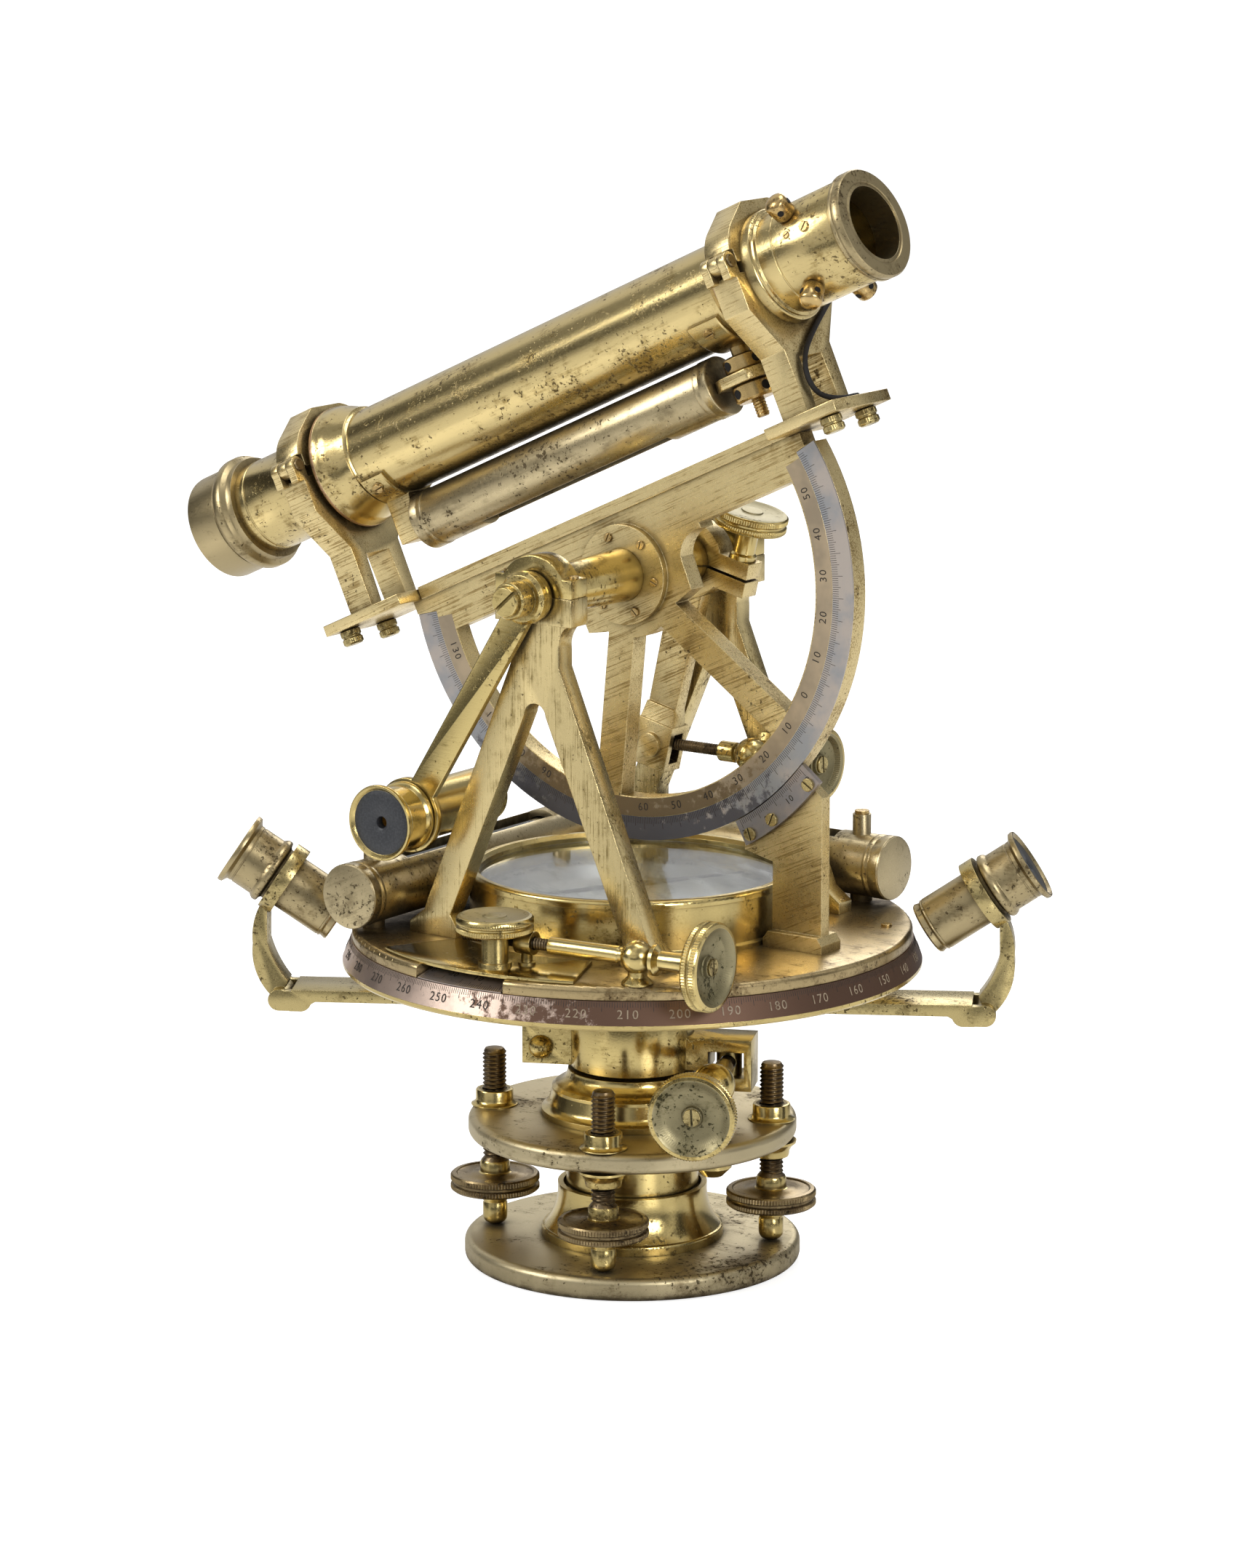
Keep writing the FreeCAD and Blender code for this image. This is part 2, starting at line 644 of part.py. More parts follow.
azimuth_ball = (
    AZIMUTH_NUT[0] + 32.6 * math.cos(math.radians(AZIMUTH_TURN)),
    AZIMUTH_NUT[1] + 32.6 * math.sin(math.radians(AZIMUTH_TURN)),
)
ALTITUDE_NUT = (-12.42, 30.0, 134.07)
altitude_ball = (ALTITUDE_NUT[0] + 30.1, 30.0, ALTITUDE_NUT[2])
# Ball posts of the two upper slow motions: one on the plate, one on the rear standard.
tangent_posts = Piece("tangent_posts", at(azimuth_ball[0], azimuth_ball[1], degrees=AZIMUTH_TURN))
tangent_posts.turn([
    (0, D.deck), (4.1, D.deck), (4.1, 92.5), (2.5, 94.0), *ball_end(4.4, 98.9, 2.5),
])
tangent_posts.holes([(0, 98.9, 2.0)], -6.0, 12.0, plane="YZ")
to_post = tangent_posts.place.inverse()
ball_stem = along((altitude_ball[0], D.standard_offset, altitude_ball[2]), (0, -1, 0))
tangent_posts.turn([
    (0, 0), (5.0, 0), (5.0, 0.8), (3.0, 1.8), *ball_end(4.6, 7.5, 3.0),
], place=to_post.multiply(ball_stem))
ball_bore = along((altitude_ball[0] + 8.0, altitude_ball[1], altitude_ball[2]), (1, 0, 0))
tangent_posts.placed_hole(to_post.multiply(ball_bore), [(0, 0, 2.0)], 16.0)
tangent_posts.done()

# ------------------------------------------------------------------------ standards


def standard(label, rear):
    """A shaped leg plate with a split bearing head, standing on beveled feet."""
    seat = float(D.standard_offset)
    place = at(y=seat + float(D.standard_depth) if rear else -seat)
    made = Piece(label, place.multiply(UPRIGHT))
    high = D.axis_height
    made.pad([
        (-41.0, D.deck), (-26.0, D.deck), (-26.0, 95.0), (-27.8, 98.0), (-3.4, 154.5),
        (3.4, 154.5, 0, 157.6), (27.8, 98.0), (26.0, 95.0), (26.0, D.deck), (41.0, D.deck),
        (41.0, 95.0), (36.2, 98.6), (7.6, 167.5), (7.6, 172.0), (8.6, 176.8, 7.7, 174.8),
        (12.0, 178.6, 9.9, 178.2), (12.0, high), (-12.0, high), (-12.0, 178.6),
        (-8.6, 176.8, -9.9, 178.2), (-7.6, 172.0, -7.7, 174.8), (-7.6, 167.5), (-36.2, 98.6),
        (-41.0, 95.0),
    ], 0, D.standard_depth)
    made.pad([
        (-12.0, 178.6), (12.0, 178.6), (12.0, high), (-12.0, high),
    ], -0.7, 7.4)
    made.holes([(0, high, D.journal_radius + 0.05)], -2.0, 12.0)
    made.done()
    return made


def cap_outline():
    """Half bearing with two flat lugs and an arched back."""
    high = D.axis_height
    return [
        (-12.0, high), (12.0, high), (12.0, high + 5.0), (9.2, high + 5.0),
        (-9.2, high + 5.0, 0, 196.28), (-12.0, high + 5.0),
    ]


standard("front_standard", False)
standard("rear_standard", True)

bearing_caps = Piece("bearing_caps", at(y=44.2).multiply(UPRIGHT))
bearing_caps.pad(cap_outline(), 0, 7.4)
bearing_caps.pad(cap_outline(), 81.0, 7.4)
bearing_caps.holes([(0, D.axis_height, D.journal_radius + 0.05)], -2.0, 92.0)
bearing_caps.done()

# ---------------------------------------------------------------- plate spirit levels


def plate_level(label, place, length):
    """A tube level lying along local X on two feet, with a long slot over its vial."""
    made = Piece(label, place)
    half = length / 2
    made.discs([(0, 0, D.level_radius)], -half, length, plane="YZ")
    made.holes([(0, 0, 6.6)], -half + 4.0, length - 8.0, plane="YZ")
    made.pocket([
        (-half * 0.62, -4.2), (half * 0.62, -4.2), (half * 0.62, 4.2), (-half * 0.62, 4.2),
    ], 4.0, 6.0)
    made.discs([(-half + 10.5, 0, 3.0), (half - 10.5, 0, 3.0)], -10.0, 3.0)
    made.discs([(-half + 10.5, 0, 2.5), (half - 10.5, 0, 2.5)], 7.4, 6.4)
    made.done()


plate_level("left_level", at(-52.0, -2.75, 102.0, degrees=90), 105.5)
plate_level("rear_level", at(2.75, 56.0, 102.0), 87.5)

plate_vials = Piece("plate_vials")
plate_vials.discs([(-52.0, 102.0, 6.3)], -2.75 - 46.7, 93.4, plane="XZ")
plate_vials.discs([(56.0, 102.0, 6.3)], 2.75 - 37.7, 75.4, plane="YZ")
plate_vials.done()

# --------------------------------------------------------------- fixed altitude vernier

vernier_post = Piece("vernier_post", at(y=2.2).multiply(UPRIGHT))
vernier_post.pad([
    (45.7, D.deck), (60.9, D.deck), (60.9, 132.9), (54.9, 138.0),
    (37.2, 125.1, 47.3, 132.6), (36.9, 116.4), (45.7, 114.3),
], 0, 3.6)
vernier_post.pad([
    (44.2, D.deck), (62.4, D.deck), (62.4, 94.2), (60.9, 96.2), (45.7, 96.2), (44.2, 94.2),
], -3.2, 9.0)
vernier_post.done()

verniers = Piece("verniers", at(degrees=-VERNIER_ANGLE - 4.0 - 10.6))
wedge = verniers.turn([
    (67.0, 88.65), (74.35, 88.65), (74.35, 88.9), (67.0, 91.6),
], angle=21.2)
verniers.polar([wedge], 2)
back_turn = VERNIER_ANGLE + 4.0 + 10.6
upright = at(degrees=back_turn).multiply(at(y=-1.45, z=float(D.axis_height))).multiply(UPRIGHT)
verniers.placed(upright, ring_sector(71.15, 78.0, -60.5, -38.5), 1.6)
verniers.done()

# ------------------------------------------------------------------- vertical arc, Ys

ARC_PLACE = TIPPED.multiply(UPRIGHT)
arc = Piece("altitude_arc", ARC_PLACE)
half_depth = 2.9
arc.discs([(0, 0, D.arc_radius)], -half_depth, D.arc_depth)
arc.holes([(0, 0, D.arc_inner)], -half_depth - 1, 8.0)
arc.pocket(box(-80.0, 80.0, 12.0, 80.0), -half_depth - 1, 8.0)
arc.pad([
    (-66.6, 19.1), (-66.6, 15.6), (-70.0, 15.6), (-70.0, 4.7), (-27.5, 4.7), (-27.5, 3.2), (-18.3, -1.6, -20.6, 1.5),
    (-18.0, -10.5), (-12.7, -12.0), (12.7, -12.0), (18.0, -10.5), (18.3, -1.6),
    (27.5, 3.2, 20.6, 1.5), (27.5, 4.7), (66.5, 4.7), (66.5, 15.5), (63.0, 15.5),
    (63.0, 19.1),
], -half_depth, D.arc_depth)
arc.discs([(0, 0, 17.0)], -half_depth, D.arc_depth)
for turn in (-60.0, -120.0):
    first = polar_point(12.0, turn)
    last = polar_point(61.5, turn)
    aside = polar_point(4.0, turn + 90)
    arc.pad([
        (first[0] - aside[0], first[1] - aside[1]), (last[0] - aside[0], last[1] - aside[1]),
        (last[0] + aside[0], last[1] + aside[1]), (first[0] + aside[0], first[1] + aside[1]),
    ], -half_depth, D.arc_depth)
arc.pad(box(-66.4, 62.9, 15.6, 19.0), half_depth - 0.1, 0.9)
for first in (half_depth - 0.1, -half_depth - 2.0):
    arc.discs([(0, 0, 13.3)], first, 2.1)
arc.holes([(0, 0, 7.05)], -half_depth - 3, 12.0)
arc.pocket(ring_sector(64.6, 71.5, -190.0, 10.0), half_depth - 0.5, 1.0)
arc.done()

arc_scale = Piece("arc_scale", ARC_PLACE)
arc_scale.pad(ring_sector(64.6, 70.8, -189.9, 9.9), half_depth - 0.5, 0.5)
arc_scale.done()

trunnion = Piece("trunnion", at(z=float(D.axis_height)).multiply(ALONG_Y))
trunnion.turn([
    (0, -55.0), (4.4, -55.0), (4.8, -54.6), (4.8, -49.6), (6.0, -49.6), (6.9, -48.7),
    (6.9, -47.0), (4.0, -47.0), (4.0, -44.4), (D.journal_radius, -44.4),
    (D.journal_radius, -35.6), (6.2, -35.0), (7.0, -5.0), (7.0, 5.0), (6.6, 23.0),
    (6.3, 23.4), (6.3, 33.6), (5.9, 34.2), (D.journal_radius, 35.6),
    (D.journal_radius, 44.5), (7.4, 44.5), (7.4, 46.6), (6.4, 47.4), (4.8, 47.4),
    (4.8, 50.6), (4.4, 51.0), (0, 51.0),
])
trunnion.done()


def wye(label, station, foot_back, foot_front):
    """A forked support: foot plate, two legs, angular cheeks and a half round seat."""
    made = Piece(label, TIPPED)
    first = station - 4.0
    seat = D.scope_offset
    made.pad([
        (-10.2, 15.6), (10.2, 15.6), (10.4, 35.4), (19.2, 47.2), (19.2, 57.0), (-19.2, 57.0),
        (-19.2, 47.2), (-10.4, 35.4),
    ], first, 8.0, plane="YZ")
    made.pocket([
        (-5.6, 19.2), (5.6, 19.2), (5.0, 33.0), (-5.0, 33.0),
    ], first - 1, 10.0, plane="YZ")
    made.holes([(0, seat, D.collar_fit + 0.05)], first - 1, 10.0, plane="YZ")
    made.pad(box(foot_back, foot_front, -12.8, 12.8), 15.6, 3.0)
    for edge in (first, first + 5.6):
        made.discs([(-19.6, 60.4, 2.6)], edge, 2.4, plane="YZ")
        made.pad([
            (-22.0, 56.0), (-17.2, 56.0), (-17.2, 60.4), (-22.0, 60.4),
        ], edge, 2.4, plane="YZ")
    made.holes([(-19.6, 60.4, 1.0)], first - 1, 10.0, plane="YZ")
    made.done()
    return made


WYE_LEFT = -82.0
WYE_RIGHT = 72.0
# The feet stand on the ends of the arc's top bar.
wye("wye_left", WYE_LEFT, -94.5, -66.7)
wye("wye_right", WYE_RIGHT, 63.2, 86.0)

wye_hardware = Piece("wye_hardware", TIPPED)
wye_hardware.discs([(-90.0, -8.0, 2.9), (-90.0, 8.0, 2.9)], 11.2, 4.4)
wye_hardware.discs([(80.5, -8.0, 2.9), (80.5, 8.0, 2.9)], 11.2, 4.4)
for station in (WYE_LEFT, WYE_RIGHT):
    wye_hardware.discs([(-19.6, 60.4, 0.95)], station - 4.0, 8.0, plane="YZ")
wye_hardware.done()


def clip(label, station):
    """A hinged strap over the collar with a flat pad on top."""
    made = Piece(label, TIPPED)
    first = station - 4.0
    top = float(D.scope_offset)
    made.pad([
        (-17.4, 60.6), (-18.4, top + 6.2), (-13.2, top + 13.6, -16.6, top + 10.2),
        (-6.0, top + 18.6), (6.0, top + 18.6), (18.2, top + 4.0, 15.4, top + 12.4),
        (18.6, 57.2), (0, 57.2), (-14.0, 59.9), (-16.2, 59.9),
    ], first, 8.0, plane="YZ")
    made.holes([(0, top, D.collar_fit + 0.1)], first - 1, 10.0, plane="YZ")
    made.pocket([
        (-25.0, 55.0), (-16.75, 55.0), (-16.75, 63.3), (-25.0, 63.3),
    ], first - 1, 3.55, plane="YZ")
    made.pocket([
        (-25.0, 55.0), (-16.75, 55.0), (-16.75, 63.3), (-25.0, 63.3),
    ], first + 5.45, 3.55, plane="YZ")
    made.discs([(-19.6, 60.4, 2.5)], first + 2.6, 2.8, plane="YZ")
    made.pad([
        (-19.6, 60.4), (-16.2, 60.4), (-16.6, 64.6), (-17.9, 64.4),
    ], first + 2.6, 2.8, plane="YZ")
    made.holes([(-19.6, 60.4, 1.02)], first, 8.0, plane="YZ")
    made.done()
    return made


clip("clip_left", WYE_LEFT)
clip("clip_right", WYE_RIGHT)

# -------------------------------------------------------------------------- telescope

SIGHT = TIPPED.multiply(at(z=float(D.scope_offset))).multiply(ALONG_X)
tube = Piece("telescope_tube", SIGHT)
tube.turn([
    (11.6, -109.0), (12.7, -109.0), (12.7, -87.2), (D.collar_fit, -86.8),
    (D.collar_fit, -76.6), (17.0, -76.4), (17.0, -75.0), (14.0, -66.5, 16.0, -70.4),
    (D.tube_radius, -66.0), (D.tube_radius, 63.0), (14.0, 63.2), (17.0, 66.4, 15.6, 64.2),
    (17.0, 67.4), (D.collar_fit, 67.5), (D.collar_fit, 78.6), (14.4, 79.2), (13.6, 79.8),
    (13.6, 104.0), (11.0, 104.0), (11.0, -109.0),
])
tube.done()

end_cells = Piece("end_cells", SIGHT)
end_cells.turn([
    (11.2, -126.0), (14.2, -126.0), (14.6, -125.5), (14.6, -115.2), (16.0, -114.6),
    (16.0, -111.6), (14.4, -110.8), (14.4, -109.0), (11.0, -109.0), (11.0, -112.0),
    (11.2, -112.2),
])
end_cells.turn([
    (9.8, 107.8), (9.8, 100.0), (11.0, 100.0), (11.0, 104.0), (14.2, 104.0), (14.5, 104.4),
    (14.5, 107.3), (14.1, 107.8),
])
end_cells.done()

lenses = Piece("lenses", SIGHT)
lenses.turn([(0, -118.0), (11.15, -118.0), (11.15, -114.4), (0, -114.4)])
lenses.turn([(0, 84.0), (10.95, 84.0), (10.95, 86.0), (0, 86.0)])
lenses.done()

# ------------------------------------------------------------ level under the telescope

slung_level = Piece("slung_level", TIPPED)
slung_level.discs([(0, 34.9, D.slung_radius)], -58.0, 106.0, plane="YZ")
slung_level.holes([(0, 34.9, 6.1)], -52.0, 94.0, plane="YZ")
slung_level.pocket(box(-38.0, 28.0, -3.8, 3.8), 25.0, 6.0)
slung_level.done()

slung_vial = Piece("slung_vial", TIPPED)
slung_vial.discs([(0, 34.9, 5.9)], -50.0, 90.0, plane="YZ")
slung_vial.done()

slung_brackets = Piece("slung_brackets", TIPPED)
slung_brackets.pad([
    (-65.8, 31.0), (-58.05, 31.0), (-58.05, 42.9), (-57.4, 43.55), (-65.9, 43.55),
    (-65.9, 40.0),
], -4.6, 9.2, plane="XZ")
slung_brackets.pad([
    (48.0, -4.4), (51.5, -7.0), (60.0, -7.0), (63.4, -3.4), (63.4, 3.4), (60.0, 7.0),
    (51.5, 7.0), (48.0, 4.4),
], 32.8, 3.0)
slung_brackets.holes([(56.2, 0, 1.82)], 32.0, 5.0)
slung_brackets.done()

# Drilled capstan heads: four round the eye end, two on the stud of the slung level.
capstans = Piece("capstans", SIGHT)
for turn in (45, 135, 225, 315):
    rim = at(degrees=turn).multiply(at(13.61, 0, 90.3, Y_AXIS, 90))
    for near, radius, depth in ((0.0, 3.0, 5.6), (5.6, 2.6, 0.8)):
        capstans.placed(rim.multiply(at(z=near)), [(0, 0, radius)], depth)
for near, far, radius in (
    (13.05, 16.4, 2.5), (16.4, 20.75, 5.6), (23.85, 28.6, 5.6), (20.7, 33.2, 1.8),
):
    capstans.placed(at(near, 0, 56.2, Y_AXIS, 90), [(0, 0, radius)], far - near)
capstans.done()

# ------------------------------------------------------------- arc magnifier on its arm

magnifier_arm = Piece("magnifier_arm", at(y=-44.6).multiply(UPRIGHT))
eye_x, eye_z = -39.0, 124.0
reach = math.hypot(eye_x, float(D.axis_height) - eye_z)
lean = math.atan2(eye_z - float(D.axis_height), eye_x)
side_x, side_z = 4.0 * math.sin(lean), -4.0 * math.cos(lean)
magnifier_arm.discs([(0, D.axis_height, 6.6)], 0, 2.2)
magnifier_arm.pad([
    (side_x, 185.8 + side_z), (-side_x, 185.8 - side_z),
    (eye_x - side_x, eye_z - side_z), (eye_x + side_x, eye_z + side_z),
], 0, 2.2)
magnifier_arm.discs([(eye_x, eye_z, 9.9)], 0, 2.2)
magnifier_arm.holes([(eye_x, eye_z, D.microscope_radius + 0.05)], -1.0, 6.0)
magnifier_arm.holes([(0, D.axis_height, 4.05)], -1.0, 6.0)
magnifier_arm.done()

magnifier = Piece("magnifier", at(eye_x, -59.0, eye_z).multiply(ALONG_Y))
magnifier.turn([
    (1.65, 0.9), (8.8, 0.9), (9.4, 0), (10.0, 0.3), (10.0, 1.6), (8.4, 2.2), (8.35, 9.6),
    (8.9, 10.2), (9.2, 10.8), (9.2, 11.6), (D.microscope_radius, 12.0),
    (D.microscope_radius, 44.4), (7.0, 45.0), (7.3, 46.4), (7.0, 46.8), (5.2, 46.8),
    (5.2, 6.0), (1.65, 4.4),
])
magnifier.done()

# ----------------------------------------------------- silk cord of the right clip pin


def cord(label, corners):
    """A round cord along straight runs joined by tangent arcs."""
    points = [FreeCAD.Vector(*c) for c in corners]
    edges = []
    start = points[0]
    for before, corner, after in zip(points, points[1:], points[2:]):
        run_in = corner - before
        run_out = after - corner
        back = FreeCAD.Vector(-run_in).normalize()
        ahead = FreeCAD.Vector(run_out).normalize()
        reach = 0.45 * min(run_in.Length, run_out.Length)
        half_turn = (math.pi - back.getAngle(ahead)) / 2
        radius = reach / math.tan(half_turn)
        print(f"{label}: bend radius {radius:.1f} mm, turn {math.degrees(2 * half_turn):.0f}")
        first = corner + back * reach
        last = corner + ahead * reach
        inward = (back + ahead).normalize()
        middle = corner + inward * (radius / math.cos(half_turn) - radius)
        edges.append(Part.LineSegment(start, first).toShape())
        edges.append(Part.Arc(first, middle, last).toShape())
        start = last
    edges.append(Part.LineSegment(start, points[-1]).toShape())
    route = doc.addObject("Part::Feature", f"{label}_route")
    route.Shape = Part.Wire(edges)
    section = doc.addObject("Part::Circle", f"{label}_section")
    section.setExpression("Radius", "Dims.cord_radius")
    section.Placement = along(points[0], points[1] - points[0])
    made = doc.addObject("Part::Sweep", label)
    made.Label = label
    made.Sections = [section]
    made.Spine = route
    made.Solid = True
    made.Frenet = False
    doc.recompute()
    length = route.Shape.Length
    print(f"{label}: {length:.1f} mm long, volume ratio "
          f"{made.Shape.Volume / (length * math.pi * float(D.cord_radius) ** 2):.4f}")
    nodes.append(made)


CORD_CORNERS = (
    (76.8, 19.0, 47.6), (77.2, 2.0, 38.5), (77.3, -6.5, 31.0), (77.3, -6.5, 23.0),
    (78.2, 1.0, 19.7), (79.0, 13.6, 19.8), (65.2, 13.6, 21.0), (65.2, -3.0, 22.0),
)
cord("clip_cord", [tuple(TIPPED.multVec(FreeCAD.Vector(*c))) for c in CORD_CORNERS])

# ------------------------------------------------------------------- altitude clamp

CLAMP_PLACE = at(y=32.2, z=float(D.axis_height), axis=Y_AXIS, degrees=ALTITUDE_CLAMP_ANGLE)
altitude_clamp = Piece("altitude_clamp", CLAMP_PLACE.multiply(UPRIGHT))
altitude_clamp.discs([(0, 0, 10.4)], 0, 6.4)
altitude_clamp.pad(box(8.0, 18.8, -4.7, 4.7), 0, 6.4)
altitude_clamp.pad([(-5.0, -8.0), (-4.4, -43.0), (4.4, -43.0), (5.0, -8.0)], 0, 4.4)
altitude_clamp.pad([(-5.6, -47.6), (-4.4, -42.0), (4.4, -42.0), (5.6, -47.6)], 0, 5.4)
altitude_clamp.pad(box(-5.6, 5.6, -59.6, -46.8), -1.6, 7.6)
altitude_clamp.discs([(0, -53.2, 3.3)], 5.9, 1.6)
altitude_clamp.pocket(box(6.0, 20.0, -0.4, 0.4), -1.0, 9.0)
altitude_clamp.holes([(0, 0, 6.35)], -1.0, 9.0)
altitude_clamp.holes([(14.4, 3.2, 1.75)], -8.0, 16.0, plane="XZ")
altitude_clamp.pocket(
    [(-57.4, 0.2), (-49.0, 0.2), (-49.0, 4.2), (-57.4, 4.2)], -8.0, 16.0, plane="YZ"
)
altitude_clamp.done()

KNOB_PLACE = CLAMP_PLACE.multiply(at(14.4, -3.2, 0.0))
altitude_knob = Piece("altitude_clamp_knob", KNOB_PLACE)
altitude_knob.turn([
    (0, -5.4), (1.7, -5.4), (1.7, 4.75), (3.6, 4.75), (3.6, 13.6), (9.4, 13.6), (9.9, 14.1),
    (9.9, 15.2), (9.3, 15.7), (9.3, 16.0), (9.9, 16.5), (9.9, 17.7), (9.4, 18.2), (0, 18.4),
])
altitude_knob.done()

tangent_screw(
    "altitude_tangent_screw", along(ALTITUDE_NUT, (1.0, 0.0, 0.0)),
    (1.6, -8.0, 20.0), (25.8, 2.75), 30.1, (9.9, 48.8),
)

doc.recompute()
broken = [o.Label for o in doc.Objects if {"Invalid", "Error"} & set(o.State)]
broken += [n.Label for n in nodes if n.Shape.isNull() or not n.Shape.isValid()]
if broken:
    raise RuntimeError(f"failed: {broken}")
os.makedirs("parts", exist_ok=True)
for node in nodes:
    node.Shape.exportStep(f"parts/{node.Label}.step")
    print(node.Label, round(node.Shape.Volume, 1), len(node.Shape.Solids))
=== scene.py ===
import logging
import math
from dataclasses import dataclass, field
from enum import Enum

import bmesh
import bpy
from mathutils import Euler, Matrix, Vector


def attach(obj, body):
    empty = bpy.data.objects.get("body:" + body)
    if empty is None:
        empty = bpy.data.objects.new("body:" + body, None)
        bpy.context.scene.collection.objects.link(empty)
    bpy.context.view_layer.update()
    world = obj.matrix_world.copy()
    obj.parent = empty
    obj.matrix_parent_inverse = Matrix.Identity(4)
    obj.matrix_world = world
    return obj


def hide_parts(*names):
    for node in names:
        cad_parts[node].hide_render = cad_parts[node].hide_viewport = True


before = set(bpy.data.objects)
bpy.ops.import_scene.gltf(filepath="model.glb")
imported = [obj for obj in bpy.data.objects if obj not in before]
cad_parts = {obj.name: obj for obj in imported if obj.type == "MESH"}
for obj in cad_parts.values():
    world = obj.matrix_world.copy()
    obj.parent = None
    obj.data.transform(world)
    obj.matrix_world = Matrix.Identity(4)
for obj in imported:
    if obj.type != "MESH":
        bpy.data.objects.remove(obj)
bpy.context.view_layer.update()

LOG = logging.getLogger("theodolite")
MM = 0.001
METRE = 1000.0
UP = Vector((0.0, 0.0, 1.0))
TILT = math.radians(24.6)
AXIS_HEIGHT = 185.8
SIGHT_OFFSET = 56.6
MERGE_DISTANCE = 0.002
FLAT_ANGLE = 0.8
VERNIER_STEP = 0.49
VERNIER_LINES = 41
PALE_FIGURES = range(130, 231)

RGB = tuple[float, float, float]
Profile = list[tuple[float, float]]


# ------------------------------------------------------------------ places (millimetres)

def shift(x: float = 0.0, y: float = 0.0, z: float = 0.0) -> Matrix:
    """Translation matrix in millimetres."""
    return Matrix.Translation((x, y, z))


def turned(degrees: float, axis: str = "Z") -> Matrix:
    """Rotation matrix about a main axis."""
    return Matrix.Rotation(math.radians(degrees), 4, axis)


def facing(point: tuple[float, float, float], direction: tuple[float, float, float]) -> Matrix:
    """Place whose local Z looks along a direction.

    Args:
        point: Origin of the place.
        direction: Direction of its Z axis.

    Returns:
        The placement matrix.
    """
    turn = Vector(direction).to_track_quat("Z", "Y").to_matrix().to_4x4()
    return Matrix.Translation(point) @ turn


TIPPED = shift(z=AXIS_HEIGHT) @ Matrix.Rotation(-TILT, 4, "Y")
SIGHT = TIPPED @ shift(z=SIGHT_OFFSET) @ turned(90, "Y")
ARC_FACE = TIPPED @ turned(90, "X")


def polar(radius: float, degrees: float) -> tuple[float, float]:
    """Point at a radius and an angle."""
    return radius * math.cos(math.radians(degrees)), radius * math.sin(math.radians(degrees))


# ------------------------------------------------------------------------ node graphs

class Graph:
    """Short way to add linked nodes to a node tree."""

    def __init__(self, tree: bpy.types.NodeTree) -> None:
        """Keep the tree that nodes are added to."""
        self.tree = tree

    def add(self, kind: str, inputs: dict | None = None, **settings: object) -> bpy.types.Node:
        """Add one node.

        Args:
            kind: Node type name.
            inputs: Values or sockets by input name or index.
            **settings: Properties of the node itself.

        Returns:
            The new node.
        """
        made = self.tree.nodes.new(kind)
        for name, value in settings.items():
            setattr(made, name, value)
        for key, value in (inputs or {}).items():
            socket = made.inputs[key]
            if isinstance(value, bpy.types.NodeSocket):
                self.tree.links.new(value, socket)
            else:
                socket.default_value = value
        return made

    def math(self, operation: str, a: object, b: object = 0.0,
             clamp: bool = False) -> bpy.types.NodeSocket:
        """Math node result."""
        made = self.add("ShaderNodeMath", {0: a, 1: b}, operation=operation, use_clamp=clamp)
        return made.outputs[0]

    def ramp(self, value: object, low: float, high: float, start: float = 0.0,
             end: float = 1.0) -> bpy.types.NodeSocket:
        """Smooth step of a value between two limits."""
        made = self.add("ShaderNodeMapRange", {
            "Value": value, "From Min": low, "From Max": high, "To Min": start, "To Max": end,
        }, interpolation_type="SMOOTHSTEP")
        return made.outputs[0]

    def mix(self, factor: object, a: object, b: object) -> bpy.types.NodeSocket:
        """Colour mix of two colours or sockets."""
        made = self.add("ShaderNodeMix", data_type="RGBA")
        for index, value in ((0, factor), (6, a), (7, b)):
            if isinstance(value, bpy.types.NodeSocket):
                self.tree.links.new(value, made.inputs[index])
            elif index:
                made.inputs[index].default_value = (*value, 1.0)
            else:
                made.inputs[index].default_value = value
        return made.outputs[2]

    def noise(self, vector: object, scale: float, detail: float = 4.0,
              rough: float = 0.55) -> bpy.types.NodeSocket:
        """Noise value at a scale per millimetre."""
        made = self.add("ShaderNodeTexNoise", {
            "Vector": vector, "Scale": scale, "Detail": detail, "Roughness": rough,
        })
        return made.outputs["Fac"]

    def stretch(self, vector: object, scale: RGB,
                turn: RGB = (0.0, 0.0, 0.0)) -> bpy.types.NodeSocket:
        """Vector turned by degrees and then scaled along each axis."""
        angles = [math.radians(a) for a in turn]
        turned_vector = self.add("ShaderNodeMapping", {"Vector": vector, "Rotation": angles})
        made = self.add("ShaderNodeMapping", {"Vector": turned_vector.outputs[0], "Scale": scale})
        return made.outputs[0]

    def millimetres(self) -> bpy.types.NodeSocket:
        """Object coordinates in millimetres."""
        place = self.add("ShaderNodeTexCoord").outputs["Object"]
        return self.stretch(place, (METRE, METRE, METRE))


def fresh_material(name: str) -> tuple[bpy.types.Material, Graph, bpy.types.Node]:
    """Empty node material with a shader and an output.

    Args:
        name: Name of the material.

    Returns:
        The material, its graph and its shader node.
    """
    material = bpy.data.materials.new(name)
    material.use_nodes = True
    material.node_tree.nodes.clear()
    graph = Graph(material.node_tree)
    shader = graph.add("ShaderNodeBsdfPrincipled")
    graph.add("ShaderNodeOutputMaterial", {"Surface": shader.outputs[0]})
    return material, graph, shader


# ----------------------------------------------------------------------------- finishes

